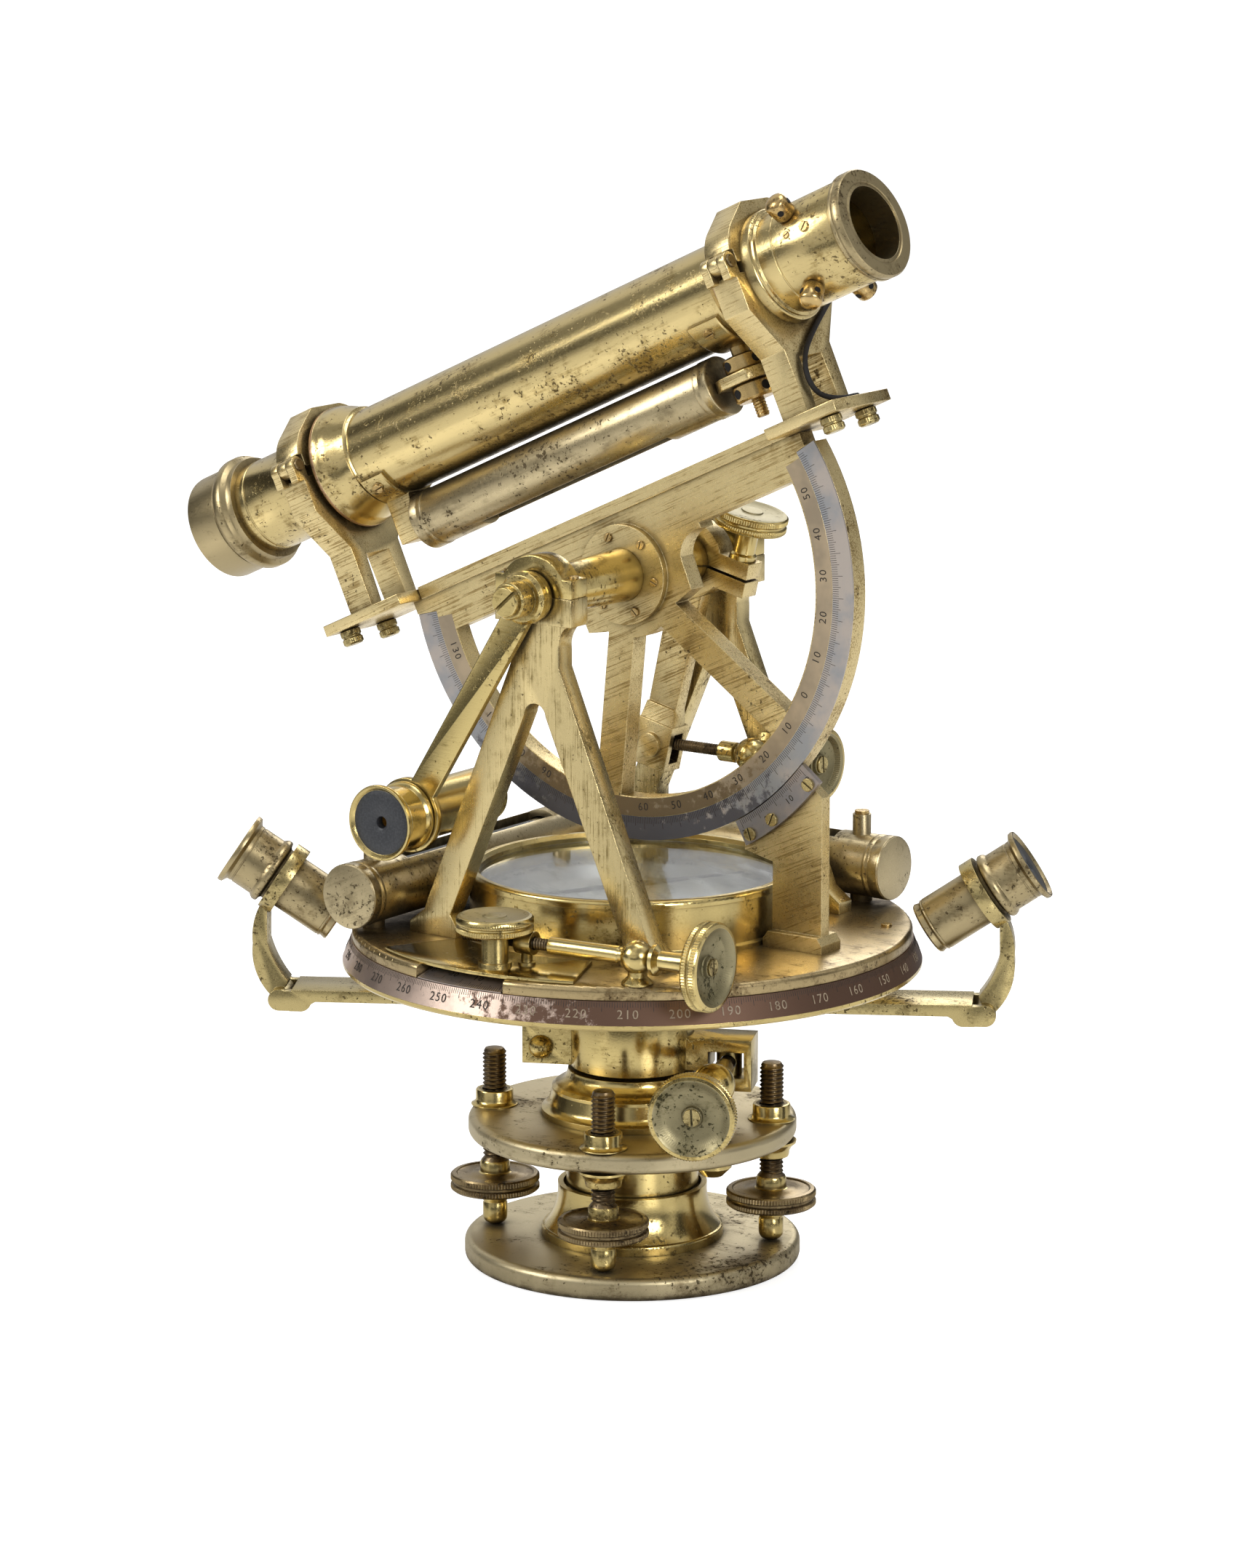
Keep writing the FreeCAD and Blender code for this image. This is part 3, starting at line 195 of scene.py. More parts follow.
@dataclass(frozen=True)
class AgedMetal:
    """Worn metal: clean colour, toned colour, patina in hollows, pits, scratches."""

    name: str
    clean: RGB
    toned: RGB
    patina: RGB
    tone: float = 0.5
    hollow: float = 0.7
    pits: float = 0.5
    roughness: float = 0.24
    brush: RGB = (0.12, 1.6, 1.6)
    brush_turn: RGB = (0.0, 0.0, 0.0)
    bump: float = 0.25
    grain: float = 1.0
    edge: float = 0.6
    rounding: float = 0.2
    lines: float = 0.35

    def build(self) -> bpy.types.Material:
        """Make the material."""
        material, graph, shader = fresh_material(self.name)
        place = graph.millimetres()
        cloud = graph.noise(place, 0.035, 3.0, 0.6)
        stain = graph.noise(place, 0.16, 8.0, 0.68)
        grain = graph.noise(place, 1.9, 5.0, 0.65)
        spot = graph.noise(place, 0.85, 5.0, 0.62)
        streak = graph.noise(graph.stretch(place, self.brush, self.brush_turn), 1.0, 6.0, 0.7)
        geometry = graph.add("ShaderNodeNewGeometry")
        soft = graph.add("ShaderNodeBevel", {"Radius": self.rounding * MM}, samples=4)
        facing_same = graph.add("ShaderNodeVectorMath", {
            0: soft.outputs[0], 1: geometry.outputs["Normal"],
        }, operation="DOT_PRODUCT").outputs["Value"]
        rim = graph.ramp(facing_same, 0.998, 0.9)
        shade = graph.add("ShaderNodeAmbientOcclusion", {"Distance": 0.007}, samples=4)
        hollow = graph.ramp(shade.outputs["AO"], 0.95, 0.35)
        mixed = graph.math("ADD", graph.math("MULTIPLY", stain, 0.6), graph.math("MULTIPLY", cloud, 0.4))
        scored = graph.math("MULTIPLY", graph.math("SUBTRACT", streak, 0.5), self.lines)
        mixed = graph.math("ADD", mixed, scored)
        tone = graph.ramp(mixed, 0.62 - 0.24 * self.tone, 0.78 - 0.24 * self.tone)
        colour = graph.mix(tone, self.clean, self.toned)
        dirt = graph.math("MULTIPLY", hollow, self.hollow)
        dirt = graph.math("MULTIPLY", dirt, graph.ramp(stain, 0.3, 0.55, 0.55, 1.0))
        patch = graph.math("ADD", graph.math("MULTIPLY", cloud, 0.55), graph.math("MULTIPLY", stain, 0.35))
        fleck = graph.ramp(graph.math("ADD", spot, patch),
                           1.14 - 0.08 * self.pits, 1.155 - 0.08 * self.pits)
        fine = graph.ramp(grain, 0.70 - 0.04 * self.pits, 0.76)
        fleck = graph.math("MAXIMUM", fleck, graph.math("MULTIPLY", fine, 0.8 * self.pits), True)
        dirt = graph.math("MAXIMUM", dirt, graph.math("MULTIPLY", fleck, 0.8), True)
        colour = graph.mix(dirt, colour, self.patina)
        bright = tuple(min(1.0, c * 1.12 + 0.04) for c in self.clean)
        worn = graph.math("MULTIPLY", rim, graph.ramp(grain, 0.35, 0.6, 0.2, self.edge))
        colour = graph.mix(worn, colour, bright)
        rough = graph.math("ADD", self.roughness, graph.math("MULTIPLY", tone, 0.12))
        rough = graph.math("ADD", rough, graph.math("MULTIPLY", dirt, 0.3))
        uneven = graph.math("MULTIPLY", graph.math("SUBTRACT", grain, 0.5), 0.25)
        rough = graph.math("ADD", rough, uneven, True)
        height = graph.math("ADD", graph.math("MULTIPLY", streak, 0.5),
                            graph.math("MULTIPLY", grain, 0.5 * self.grain))
        height = graph.math("SUBTRACT", height, graph.math("MULTIPLY", fleck, 0.6))
        bump = graph.add("ShaderNodeBump", {
            "Height": height, "Strength": self.bump, "Distance": 0.00012,
            "Normal": soft.outputs[0],
        })
        shader.inputs["Metallic"].default_value = 1.0
        links = material.node_tree.links
        links.new(colour, shader.inputs["Base Color"])
        links.new(rough, shader.inputs["Roughness"])
        links.new(bump.outputs[0], shader.inputs["Normal"])
        return material


@dataclass(frozen=True)
class Plain:
    """Non metal finish with a little mottling and bump."""

    name: str
    colour: RGB
    second: RGB
    roughness: float = 0.5
    scale: float = 0.8

    def build(self) -> bpy.types.Material:
        """Make the material."""
        material, graph, shader = fresh_material(self.name)
        place = graph.millimetres()
        mottle = graph.noise(place, self.scale, 6.0, 0.65)
        links = material.node_tree.links
        links.new(graph.mix(graph.ramp(mottle, 0.4, 0.65), self.colour, self.second),
                  shader.inputs["Base Color"])
        links.new(graph.ramp(mottle, 0.3, 0.7, self.roughness - 0.08, self.roughness + 0.1),
                  shader.inputs["Roughness"])
        bump = graph.add("ShaderNodeBump", {"Height": mottle, "Strength": 0.3, "Distance": 0.0001})
        links.new(bump.outputs[0], shader.inputs["Normal"])
        return material


@dataclass(frozen=True)
class ClearGlass:
    """Thin clear glass with faint smears."""

    name: str
    tint: RGB = (0.96, 0.98, 0.97)
    roughness: float = 0.03

    def build(self) -> bpy.types.Material:
        """Make the material."""
        material, graph, shader = fresh_material(self.name)
        place = graph.millimetres()
        smear = graph.noise(graph.stretch(place, (0.06, 0.2, 0.2), (0.0, 0.0, 30.0)), 1.0, 5.0, 0.7)
        links = material.node_tree.links
        links.new(graph.ramp(smear, 0.45, 0.8, self.roughness, self.roughness + 0.22),
                  shader.inputs["Roughness"])
        shader.inputs["Base Color"].default_value = (*self.tint, 1.0)
        shader.inputs["Transmission Weight"].default_value = 1.0
        shader.inputs["IOR"].default_value = 1.45
        return material


@dataclass(frozen=True)
class TarnishedSilver:
    """Silvered scale: pinkish silver with grey blue tarnish clouds and brown flecks, turning to its brown
    colour towards one side along the lean direction.
    """

    name: str
    clean: RGB = (0.78, 0.66, 0.58)
    grey: RGB = (0.45, 0.46, 0.49)
    brown: RGB = (0.11, 0.065, 0.045)
    lean: RGB = (0.0, 0.0, 0.0)
    offset: float = 0.0
    roughness: float = 0.36

    def build(self) -> bpy.types.Material:
        """Make the material."""
        material, graph, shader = fresh_material(self.name)
        place = graph.millimetres()
        cloud = graph.noise(place, 0.05, 4.0, 0.6)
        stain = graph.noise(place, 0.3, 8.0, 0.72)
        grain = graph.noise(place, 2.4, 4.0, 0.6)
        along = graph.add("ShaderNodeVectorMath", {0: place, 1: self.lean},
                          operation="DOT_PRODUCT").outputs["Value"]
        reach = graph.math("ADD", along, graph.math("MULTIPLY", graph.math("SUBTRACT", stain, 0.5), 1.6))
        # Darker towards one side: the mix moves to the brown colour along the lean direction, with a noisy
        # edge.
        lean_darkening = graph.ramp(graph.math("ADD", reach, self.offset), 0.0, 0.22)
        colour = graph.mix(graph.ramp(cloud, 0.42, 0.62), self.clean, self.grey)
        colour = graph.mix(lean_darkening, colour, self.brown)
        fleck = graph.ramp(grain, 0.64, 0.72)
        colour = graph.mix(graph.math("MULTIPLY", fleck, 0.6), colour, self.brown)
        links = material.node_tree.links
        links.new(colour, shader.inputs["Base Color"])
        links.new(graph.math("ADD", self.roughness, graph.math("MULTIPLY", lean_darkening, 0.15)),
                  shader.inputs["Roughness"])
        bump = graph.add("ShaderNodeBump", {"Height": grain, "Strength": 0.2, "Distance": 0.0001})
        links.new(bump.outputs[0], shader.inputs["Normal"])
        shader.inputs["Metallic"].default_value = 0.9
        return material


class Finish(Enum):
    """Every finish on the instrument."""

    LACQUER = AgedMetal("polished_brass", (0.72, 0.565, 0.235), (0.37, 0.27, 0.09),
                        (0.06, 0.042, 0.016), tone=0.5, roughness=0.17, pits=0.45)
    WORN = AgedMetal("worn_brass", (0.58, 0.465, 0.21), (0.27, 0.205, 0.085),
                     (0.05, 0.035, 0.015), tone=0.56, roughness=0.27, pits=1.0, edge=0.9)
    TUBE = AgedMetal("telescope_brass", (0.73, 0.575, 0.265), (0.37, 0.265, 0.095),
                     (0.075, 0.05, 0.022), tone=0.52, roughness=0.18, brush=(0.05, 1.4, 1.4),
                     brush_turn=(0.0, 24.6, 0.0), pits=0.72)
    FILED = AgedMetal("filed_brass", (0.83, 0.665, 0.335), (0.42, 0.295, 0.115),
                      (0.07, 0.045, 0.02), tone=0.5, roughness=0.29, bump=0.4,
                      brush=(0.06, 2.6, 2.6), brush_turn=(0.0, 24.6, 0.0), grain=0.3, hollow=0.95,
                      pits=0.15, lines=1.3, rounding=0.35)
    LEG = AgedMetal("leg_brass", (0.79, 0.635, 0.315), (0.38, 0.285, 0.115),
                    (0.075, 0.052, 0.024), tone=0.5, roughness=0.24, bump=0.3,
                    brush=(2.6, 2.6, 0.06), grain=0.3, pits=0.3, lines=0.9, rounding=0.35)
    DULL = AgedMetal("drawn_tube_brass", (0.48, 0.385, 0.21), (0.25, 0.19, 0.095),
                     (0.06, 0.042, 0.022), tone=0.52, roughness=0.32, pits=0.6, hollow=0.85)
    LEVEL = AgedMetal("level_brass", (0.56, 0.46, 0.27), (0.33, 0.265, 0.15),
                      (0.07, 0.05, 0.027), tone=0.5, roughness=0.3, pits=0.35, hollow=0.85,
                      brush=(0.05, 1.1, 1.1), brush_turn=(0.0, 24.6, 0.0))
    DECK = AgedMetal("deck_brass", (0.52, 0.40, 0.205), (0.22, 0.155, 0.075),
                     (0.06, 0.038, 0.02), tone=0.6, roughness=0.3, pits=0.5, hollow=0.85)
    DISH = AgedMetal("tarnished_dish", (0.38, 0.33, 0.19), (0.23, 0.20, 0.105),
                     (0.04, 0.038, 0.018), tone=0.5, roughness=0.42, pits=0.7)
    PLATE = AgedMetal("plate_brass", (0.58, 0.49, 0.30), (0.33, 0.265, 0.15),
                      (0.055, 0.038, 0.02), tone=0.52, roughness=0.4, pits=0.45, hollow=0.9)
    BRONZED = AgedMetal("brown_bronzing", (0.36, 0.27, 0.14), (0.15, 0.105, 0.055),
                        (0.025, 0.017, 0.011), tone=0.6, roughness=0.3, pits=0.35, hollow=0.9, rounding=0.08)
    THREAD = AgedMetal("oiled_thread", (0.25, 0.185, 0.105), (0.11, 0.078, 0.045),
                       (0.014, 0.010, 0.007), tone=0.6, roughness=0.3, pits=0.2, hollow=1.0,
                       rounding=0.06)
    GILT = AgedMetal("gilt_brass", (0.66, 0.47, 0.20), (0.38, 0.24, 0.09),
                     (0.06, 0.035, 0.015), tone=0.5, roughness=0.22, pits=0.35)
    COPPER = AgedMetal("copper_toned_brass", (0.60, 0.40, 0.25), (0.36, 0.22, 0.13),
                       (0.08, 0.04, 0.025), tone=0.5, roughness=0.3, pits=0.5)
    STEEL = AgedMetal("dark_steel", (0.22, 0.19, 0.165), (0.11, 0.085, 0.07),
                      (0.02, 0.016, 0.012), tone=0.5, roughness=0.3, pits=0.2)
    SILVER = TarnishedSilver("silvered_scale", clean=(0.48, 0.40, 0.35),
                             grey=(0.31, 0.30, 0.31), lean=(0.008, 0.0, 0.0), offset=-0.75)
    LIMB_SILVER = TarnishedSilver("limb_silvering", clean=(0.70, 0.54, 0.44), grey=(0.46, 0.35, 0.29),
                                  brown=(0.15, 0.088, 0.06), lean=(0.011, 0.002, 0.0), offset=0.1)
    # The arc silvering and the figure band turn to their dark colour towards the bottom of the arc.
    ARC_SILVER = TarnishedSilver("arc_silvering", clean=(0.60, 0.53, 0.47),
                                 grey=(0.40, 0.41, 0.43), brown=(0.17, 0.165, 0.18),
                                 lean=(0.0, 0.0, -0.022), offset=3.0)
    BAND = TarnishedSilver("figure_band", clean=(0.58, 0.46, 0.31), grey=(0.42, 0.34, 0.24),
                           brown=(0.27, 0.20, 0.115), lean=(0.0, 0.0, -0.022), offset=3.05)
    DIAL = TarnishedSilver("dial_silvering", clean=(0.86, 0.85, 0.82), grey=(0.68, 0.69, 0.69),
                           brown=(0.4, 0.38, 0.34), offset=-0.5, roughness=0.4)
    INK = Plain("engraving_black", (0.02, 0.016, 0.012), (0.06, 0.045, 0.03), 0.6)
    PALE_INK = Plain("engraving_gilt", (0.36, 0.28, 0.19), (0.22, 0.16, 0.10), 0.5)
    BLACK = Plain("blackened_face", (0.028, 0.03, 0.034), (0.05, 0.052, 0.058), 0.42, 1.6)
    # Painted shade: near-black colour for discs that stand in for the dark inside of drilled holes.
    HOLE = Plain("painted_bore_shade", (0.004, 0.003, 0.003), (0.008, 0.006, 0.005), 0.8)
    SILK = Plain("black_silk", (0.010, 0.009, 0.009), (0.024, 0.022, 0.022), 0.75, 5.0)
    GLASS = ClearGlass("clear_glass")
    VIAL = ClearGlass("vial_glass", (0.9, 0.97, 0.9), 0.05)

    @property
    def material(self) -> bpy.types.Material:
        """The Blender material of this finish, made once."""
        found = bpy.data.materials.get(self.value.name)
        return found or self.value.build()


# --------------------------------------------------------------------------- mesh makers

def smooth(mesh: bpy.types.Mesh, degrees: float = 32.0) -> None:
    """Smooth shading with hard edges above an angle."""
    for polygon in mesh.polygons:
        polygon.use_smooth = True
    mesh.set_sharp_from_angle(angle=math.radians(degrees))


def linked(label: str, data: bpy.types.ID) -> bpy.types.Object:
    """New object in the scene."""
    made = bpy.data.objects.new(label, data)
    bpy.context.scene.collection.objects.link(made)
    return made


def plain_mesh(holder: bpy.types.Object) -> bpy.types.Mesh:
    """Evaluated mesh of a helper object, which is removed."""
    graph = bpy.context.evaluated_depsgraph_get()
    mesh = bpy.data.meshes.new_from_object(holder.evaluated_get(graph), depsgraph=graph)
    holder.modifiers.clear()
    bpy.data.objects.remove(holder)
    return mesh


def publish(label: str, mesh: bpy.types.Mesh, place: Matrix, finish: Finish, body: str,
            hides: tuple[str, ...] = ()) -> bpy.types.Object:
    """Put a mesh made in millimetres into the scene as a finished piece.

    Args:
        label: Name of the piece.
        mesh: Mesh in its own millimetre frame.
        place: Where that frame lies on the instrument, in millimetres.
        finish: Finish of the whole piece, kept if the mesh has materials already.
        body: Body that it moves with.
        hides: CAD nodes that it stands for.

    Returns:
        The new object.
    """
    mesh.transform(Matrix.Scale(MM, 4) @ place)
    mesh.name = label
    if not mesh.materials:
        mesh.materials.append(finish.material)
    made = linked(label, mesh)
    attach(made, body)
    if hides:
        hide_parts(*hides)
    LOG.info("%s: %d faces on %s", label, len(mesh.polygons), body)
    return made


def dress(node: str, finish: Finish) -> None:
    """Give a CAD node its finish."""
    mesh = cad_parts[node].data
    mesh.materials.clear()
    mesh.materials.append(finish.material)


def evaluated(mesh: bpy.types.Mesh, tree: bpy.types.NodeTree, values: dict) -> bpy.types.Mesh:
    """Run a Geometry Nodes tree over a mesh and keep the plain result.

    Args:
        mesh: Input mesh.
        tree: Geometry Nodes tree.
        values: Input values by socket name.

    Returns:
        The resulting mesh.
    """
    holder = linked("holder", mesh)
    modifier = holder.modifiers.new("nodes", "NODES")
    modifier.node_group = tree
    sockets = {s.name: s.identifier for s in tree.interface.items_tree if s.in_out == "INPUT"}
    for name, value in values.items():
        modifier[sockets[name]] = value
    return plain_mesh(holder)


def joined(meshes: list[bpy.types.Mesh]) -> bpy.types.Mesh:
    """One mesh from several, keeping their materials."""
    total = bpy.data.meshes.new("joined")
    work = bmesh.new()
    slots: list[bpy.types.Material] = []
    for mesh in meshes:
        for material in mesh.materials:
            if material not in slots:
                slots.append(material)
        before = len(work.faces)
        work.from_mesh(mesh)
        work.faces.ensure_lookup_table()
        for face in work.faces[before:]:
            if mesh.materials:
                face.material_index = slots.index(mesh.materials[face.material_index])
    work.to_mesh(total)
    work.free()
    for material in slots:
        total.materials.append(material)
    return total


def placed(mesh: bpy.types.Mesh, place: Matrix) -> bpy.types.Mesh:
    """The mesh moved to a place."""
    mesh.transform(place)
    return mesh


def painted(mesh: bpy.types.Mesh, finish: Finish) -> bpy.types.Mesh:
    """The mesh with one finish."""
    mesh.materials.clear()
    mesh.materials.append(finish.material)
    return mesh


class Trees:
    """Geometry Nodes trees, each built once."""

    @staticmethod
    def start(name: str, inputs: list[tuple[str, str, object]],
              ) -> tuple[bpy.types.NodeTree, Graph, bpy.types.Node]:
        """New tree with a geometry input and named inputs.

        Args:
            name: Name of the tree.
            inputs: Name, socket type and default of each input.

        Returns:
            The tree, its graph and its input node.
        """
        tree = bpy.data.node_groups.new(name, "GeometryNodeTree")
        tree.interface.new_socket("Geometry", in_out="OUTPUT", socket_type="NodeSocketGeometry")
        tree.interface.new_socket("Geometry", in_out="INPUT", socket_type="NodeSocketGeometry")
        for label, kind, default in inputs:
            socket = tree.interface.new_socket(label, in_out="INPUT", socket_type=kind)
            if default is not None:
                socket.default_value = default
        graph = Graph(tree)
        return tree, graph, graph.add("NodeGroupInput")

    @staticmethod
    def close(graph: Graph, geometry: bpy.types.NodeSocket, material: bpy.types.NodeSocket) -> None:
        """Realize instances, set the material and end the tree."""
        solid = graph.add("GeometryNodeRealizeInstances", {"Geometry": geometry})
        coated = graph.add("GeometryNodeSetMaterial", {
            "Geometry": solid.outputs[0], "Material": material,
        })
        graph.add("NodeGroupOutput", {"Geometry": coated.outputs[0]})

    @staticmethod
    def turning() -> bpy.types.NodeTree:
        """Cuts milling and screw thread into a turned mesh about its Z axis."""
        found = bpy.data.node_groups.get("Turning")
        if found:
            return found
        tree, graph, source = Trees.start("Turning", [
            ("Teeth", "NodeSocketFloat", 90.0), ("Pitch", "NodeSocketFloat", 1.0),
            ("Material", "NodeSocketMaterial", None),
        ])
        spot = graph.add("GeometryNodeInputPosition").outputs[0]
        parts = graph.add("ShaderNodeSeparateXYZ", {0: spot})
        angle = graph.math("ARCTAN2", parts.outputs[1], parts.outputs[0])
        turn = graph.math("DIVIDE", angle, 2 * math.pi)
        mill = graph.add("GeometryNodeInputNamedAttribute", {"Name": "mill"}).outputs[0]
        thread = graph.add("GeometryNodeInputNamedAttribute", {"Name": "thread"}).outputs[0]
        tooth = graph.math("PINGPONG", graph.math("MULTIPLY", turn, source.outputs["Teeth"]), 0.5)
        groove = graph.math("PINGPONG", graph.math(
            "SUBTRACT", graph.math("DIVIDE", parts.outputs[2], source.outputs["Pitch"]), turn), 0.5)
        cut = graph.math("ADD", graph.math("MULTIPLY", graph.math("MULTIPLY", tooth, 2.0), mill),
                         graph.math("MULTIPLY", graph.math("MULTIPLY", groove, 2.0), thread))
        flat = graph.add("ShaderNodeCombineXYZ", {0: parts.outputs[0], 1: parts.outputs[1]})
        out = graph.add("ShaderNodeVectorMath", {0: flat.outputs[0]}, operation="NORMALIZE")
        move = graph.add("ShaderNodeVectorMath", {
            0: out.outputs[0], "Scale": graph.math("MULTIPLY", cut, -1.0),
        }, operation="SCALE")
        moved = graph.add("GeometryNodeSetPosition", {
            "Geometry": source.outputs["Geometry"], "Offset": move.outputs[0],
        })
        Trees.close(graph, moved.outputs[0], source.outputs["Material"])
        return tree

    @staticmethod
    def graduations() -> bpy.types.NodeTree:
        """Lines round a cone, every fifth and tenth longer."""
        found = bpy.data.node_groups.get("Graduations")
        if found:
            return found
        tree, graph, source = Trees.start("Graduations", [
            ("Count", "NodeSocketInt", 10), ("Start", "NodeSocketFloat", 0.0),
            ("Step", "NodeSocketFloat", 0.01), ("Radius", "NodeSocketFloat", 10.0),
            ("Length", "NodeSocketFloat", 1.0), ("Width", "NodeSocketFloat", 0.1),
            ("Lean", "NodeSocketFloat", 0.0), ("Side", "NodeSocketFloat", 1.0),
            ("Phase", "NodeSocketInt", 0), ("Material", "NodeSocketMaterial", None),
        ])
        line = graph.add("GeometryNodeMeshLine", {"Count": source.outputs["Count"]})
        index = graph.add("GeometryNodeInputIndex").outputs[0]
        number = graph.math("ADD", index, source.outputs["Phase"])
        fifth = graph.math("COMPARE", graph.math("MODULO", number, 5.0), 0.0)
        tenth = graph.math("COMPARE", graph.math("MODULO", number, 10.0), 0.0)
        share = graph.math("ADD", 0.55, graph.math("ADD", graph.math("MULTIPLY", fifth, 0.2),
                                                   graph.math("MULTIPLY", tenth, 0.25)))
        length = graph.math("MULTIPLY", source.outputs["Length"], share)
        half = graph.math("MULTIPLY", graph.math("MULTIPLY", length, 0.5), source.outputs["Side"])
        lean = source.outputs["Lean"]
        radius = graph.math("ADD", source.outputs["Radius"],
                            graph.math("MULTIPLY", half, graph.math("COSINE", lean)))
        height = graph.math("MULTIPLY", half, graph.math("MULTIPLY", graph.math("SINE", lean), -1.0))
        angle = graph.math("ADD", source.outputs["Start"],
                           graph.math("MULTIPLY", index, source.outputs["Step"]))
        spot = graph.add("ShaderNodeCombineXYZ", {
            0: graph.math("MULTIPLY", radius, graph.math("COSINE", angle)),
            1: graph.math("MULTIPLY", radius, graph.math("SINE", angle)), 2: height,
        })
        points = graph.add("GeometryNodeSetPosition", {
            "Geometry": line.outputs[0], "Position": spot.outputs[0],
        })
        bar = graph.add("GeometryNodeMeshCube", {"Size": (1.0, 1.0, 0.04)})
        turn = graph.add("ShaderNodeCombineXYZ", {1: lean, 2: angle})
        size = graph.add("ShaderNodeCombineXYZ", {0: length, 1: source.outputs["Width"], 2: 1.0})
        bars = graph.add("GeometryNodeInstanceOnPoints", {
            "Points": points.outputs[0], "Instance": bar.outputs[0],
            "Rotation": turn.outputs[0], "Scale": size.outputs[0],
        })
        Trees.close(graph, bars.outputs[0], source.outputs["Material"])
        return tree

    @staticmethod
    def screw_heads() -> bpy.types.NodeTree:
        """A slotted head on every point, along its axis, turned at random."""
        found = bpy.data.node_groups.get("ScrewHeads")
        if found:
            return found
        tree, graph, source = Trees.start("ScrewHeads", [
            ("Head", "NodeSocketObject", None), ("Seed", "NodeSocketInt", 7),
            ("Material", "NodeSocketMaterial", None),
        ])
        head = graph.add("GeometryNodeObjectInfo", {"Object": source.outputs["Head"]})
        axis = graph.add("GeometryNodeInputNamedAttribute", {"Name": "axis"}, data_type="FLOAT_VECTOR")
        size = graph.add("GeometryNodeInputNamedAttribute", {"Name": "size"}).outputs[0]
        aim = graph.add("FunctionNodeAlignRotationToVector", {"Vector": axis.outputs[0]}, axis="Z")
        spin = graph.add("FunctionNodeRandomValue", {
            "Min": 0.0, "Max": math.pi, "Seed": source.outputs["Seed"],
        })
        spun = graph.add("FunctionNodeAxisAngleToRotation", {"Angle": spin.outputs[1]})
        both = graph.add("FunctionNodeRotateRotation", {
            "Rotation": aim.outputs[0], "Rotate By": spun.outputs[0],
        }, rotation_space="LOCAL")
        heads = graph.add("GeometryNodeInstanceOnPoints", {
            "Points": source.outputs["Geometry"], "Instance": head.outputs["Geometry"],
            "Rotation": both.outputs[0], "Scale": size,
        })
        Trees.close(graph, heads.outputs[0], source.outputs["Material"])
        return tree


@dataclass
class Turned:
    """A lathe piece: a profile with milled and threaded stretches."""

    profile: Profile
    segments: int = 96
    milled: list[tuple[float, float, float]] = field(default_factory=list)
    threaded: list[tuple[float, float, float]] = field(default_factory=list)
    teeth: float = 90.0
    pitch: float = 1.0
    closed: bool = False

    def rings(self) -> Profile:
        """Profile with threaded runs divided finely."""
        points = list(self.profile) + ([self.profile[0]] if self.closed else [])
        rings = [points[0]]
        for (r0, z0), (r1, z1) in zip(points, points[1:]):
            steps = 1
            for low, high, _ in self.threaded:
                if abs(z1 - z0) > self.pitch and min(z0, z1) >= low - 1e-6 and max(z0, z1) <= high + 1e-6:
                    steps = max(2, int(abs(z1 - z0) / self.pitch * 6))
            for step in range(1, steps + 1):
                share = step / steps
                rings.append((r0 + (r1 - r0) * share, z0 + (z1 - z0) * share))
        return rings[:-1] if self.closed else rings

    def depth(self, zones: list[tuple[float, float, float]], radius: float, height: float) -> float:
        """Depth of cut at a ring, zero outside the zones."""
        for low, high, cut in zones:
            if low - 1e-6 <= height <= high + 1e-6 and radius > 0:
                return cut
        return 0.0

    def toned(self, finish: Finish, *changes: tuple[float, float, Finish]) -> bpy.types.Mesh:
        """Build the mesh with another finish above each height and inside a radius.

        Args:
            finish: Finish of the lowest stretch.
            *changes: Height, radius and finish of each further stretch, from low to high.

        Returns:
            The mesh with several materials.
        """
        mesh = self.mesh(finish)
        for index, (height, radius, other) in enumerate(changes, start=1):
            mesh.materials.append(other.material)
            for polygon in mesh.polygons:
                x, y, z = polygon.center
                if z > height and math.hypot(x, y) < radius:
                    polygon.material_index = index
        return mesh

    def mesh(self, finish: Finish) -> bpy.types.Mesh:
        """Build the mesh in its own frame.

        Args:
            finish: Finish of the piece.

        Returns:
            The cut and smoothed mesh.
        """
        rings = self.rings()
        vertices: list[tuple[float, float, float]] = []
        mill: list[float] = []
        thread: list[float] = []
        rows: list[list[int]] = []
        for radius, height in rings:
            count = 1 if radius < 1e-6 else self.segments
            row = []
            for step in range(count):
                angle = 2 * math.pi * step / self.segments
                row.append(len(vertices))
                vertices.append((radius * math.cos(angle), radius * math.sin(angle), height))
                mill.append(self.depth(self.milled, radius, height))
                thread.append(self.depth(self.threaded, radius, height))
            rows.append(row)
        faces: list[tuple[int, ...]] = []
        pairs = list(zip(rows, rows[1:] + rows[:1])) if self.closed else list(zip(rows, rows[1:]))
        for lower, upper in pairs:
            for step in range(self.segments):
                after = (step + 1) % self.segments
                if len(lower) == 1 and len(upper) == 1:
                    break
                if len(lower) == 1:
                    faces.append((lower[0], upper[after], upper[step]))
                elif len(upper) == 1:
                    faces.append((lower[step], lower[after], upper[0]))
                else:
                    faces.append((lower[step], lower[after], upper[after], upper[step]))
        mesh = bpy.data.meshes.new("turned")
        mesh.from_pydata(vertices, [], faces)
        for name, values in (("mill", mill), ("thread", thread)):
            mesh.attributes.new(name, "FLOAT", "POINT").data.foreach_set("value", values)
        result = evaluated(mesh, Trees.turning(), {
            "Teeth": self.teeth, "Pitch": self.pitch, "Material": finish.material,
        })
        work = bmesh.new()
        work.from_mesh(result)
        bmesh.ops.recalc_face_normals(work, faces=work.faces)
        work.to_mesh(result)
        work.free()
        smooth(result, 38.0)
        return result


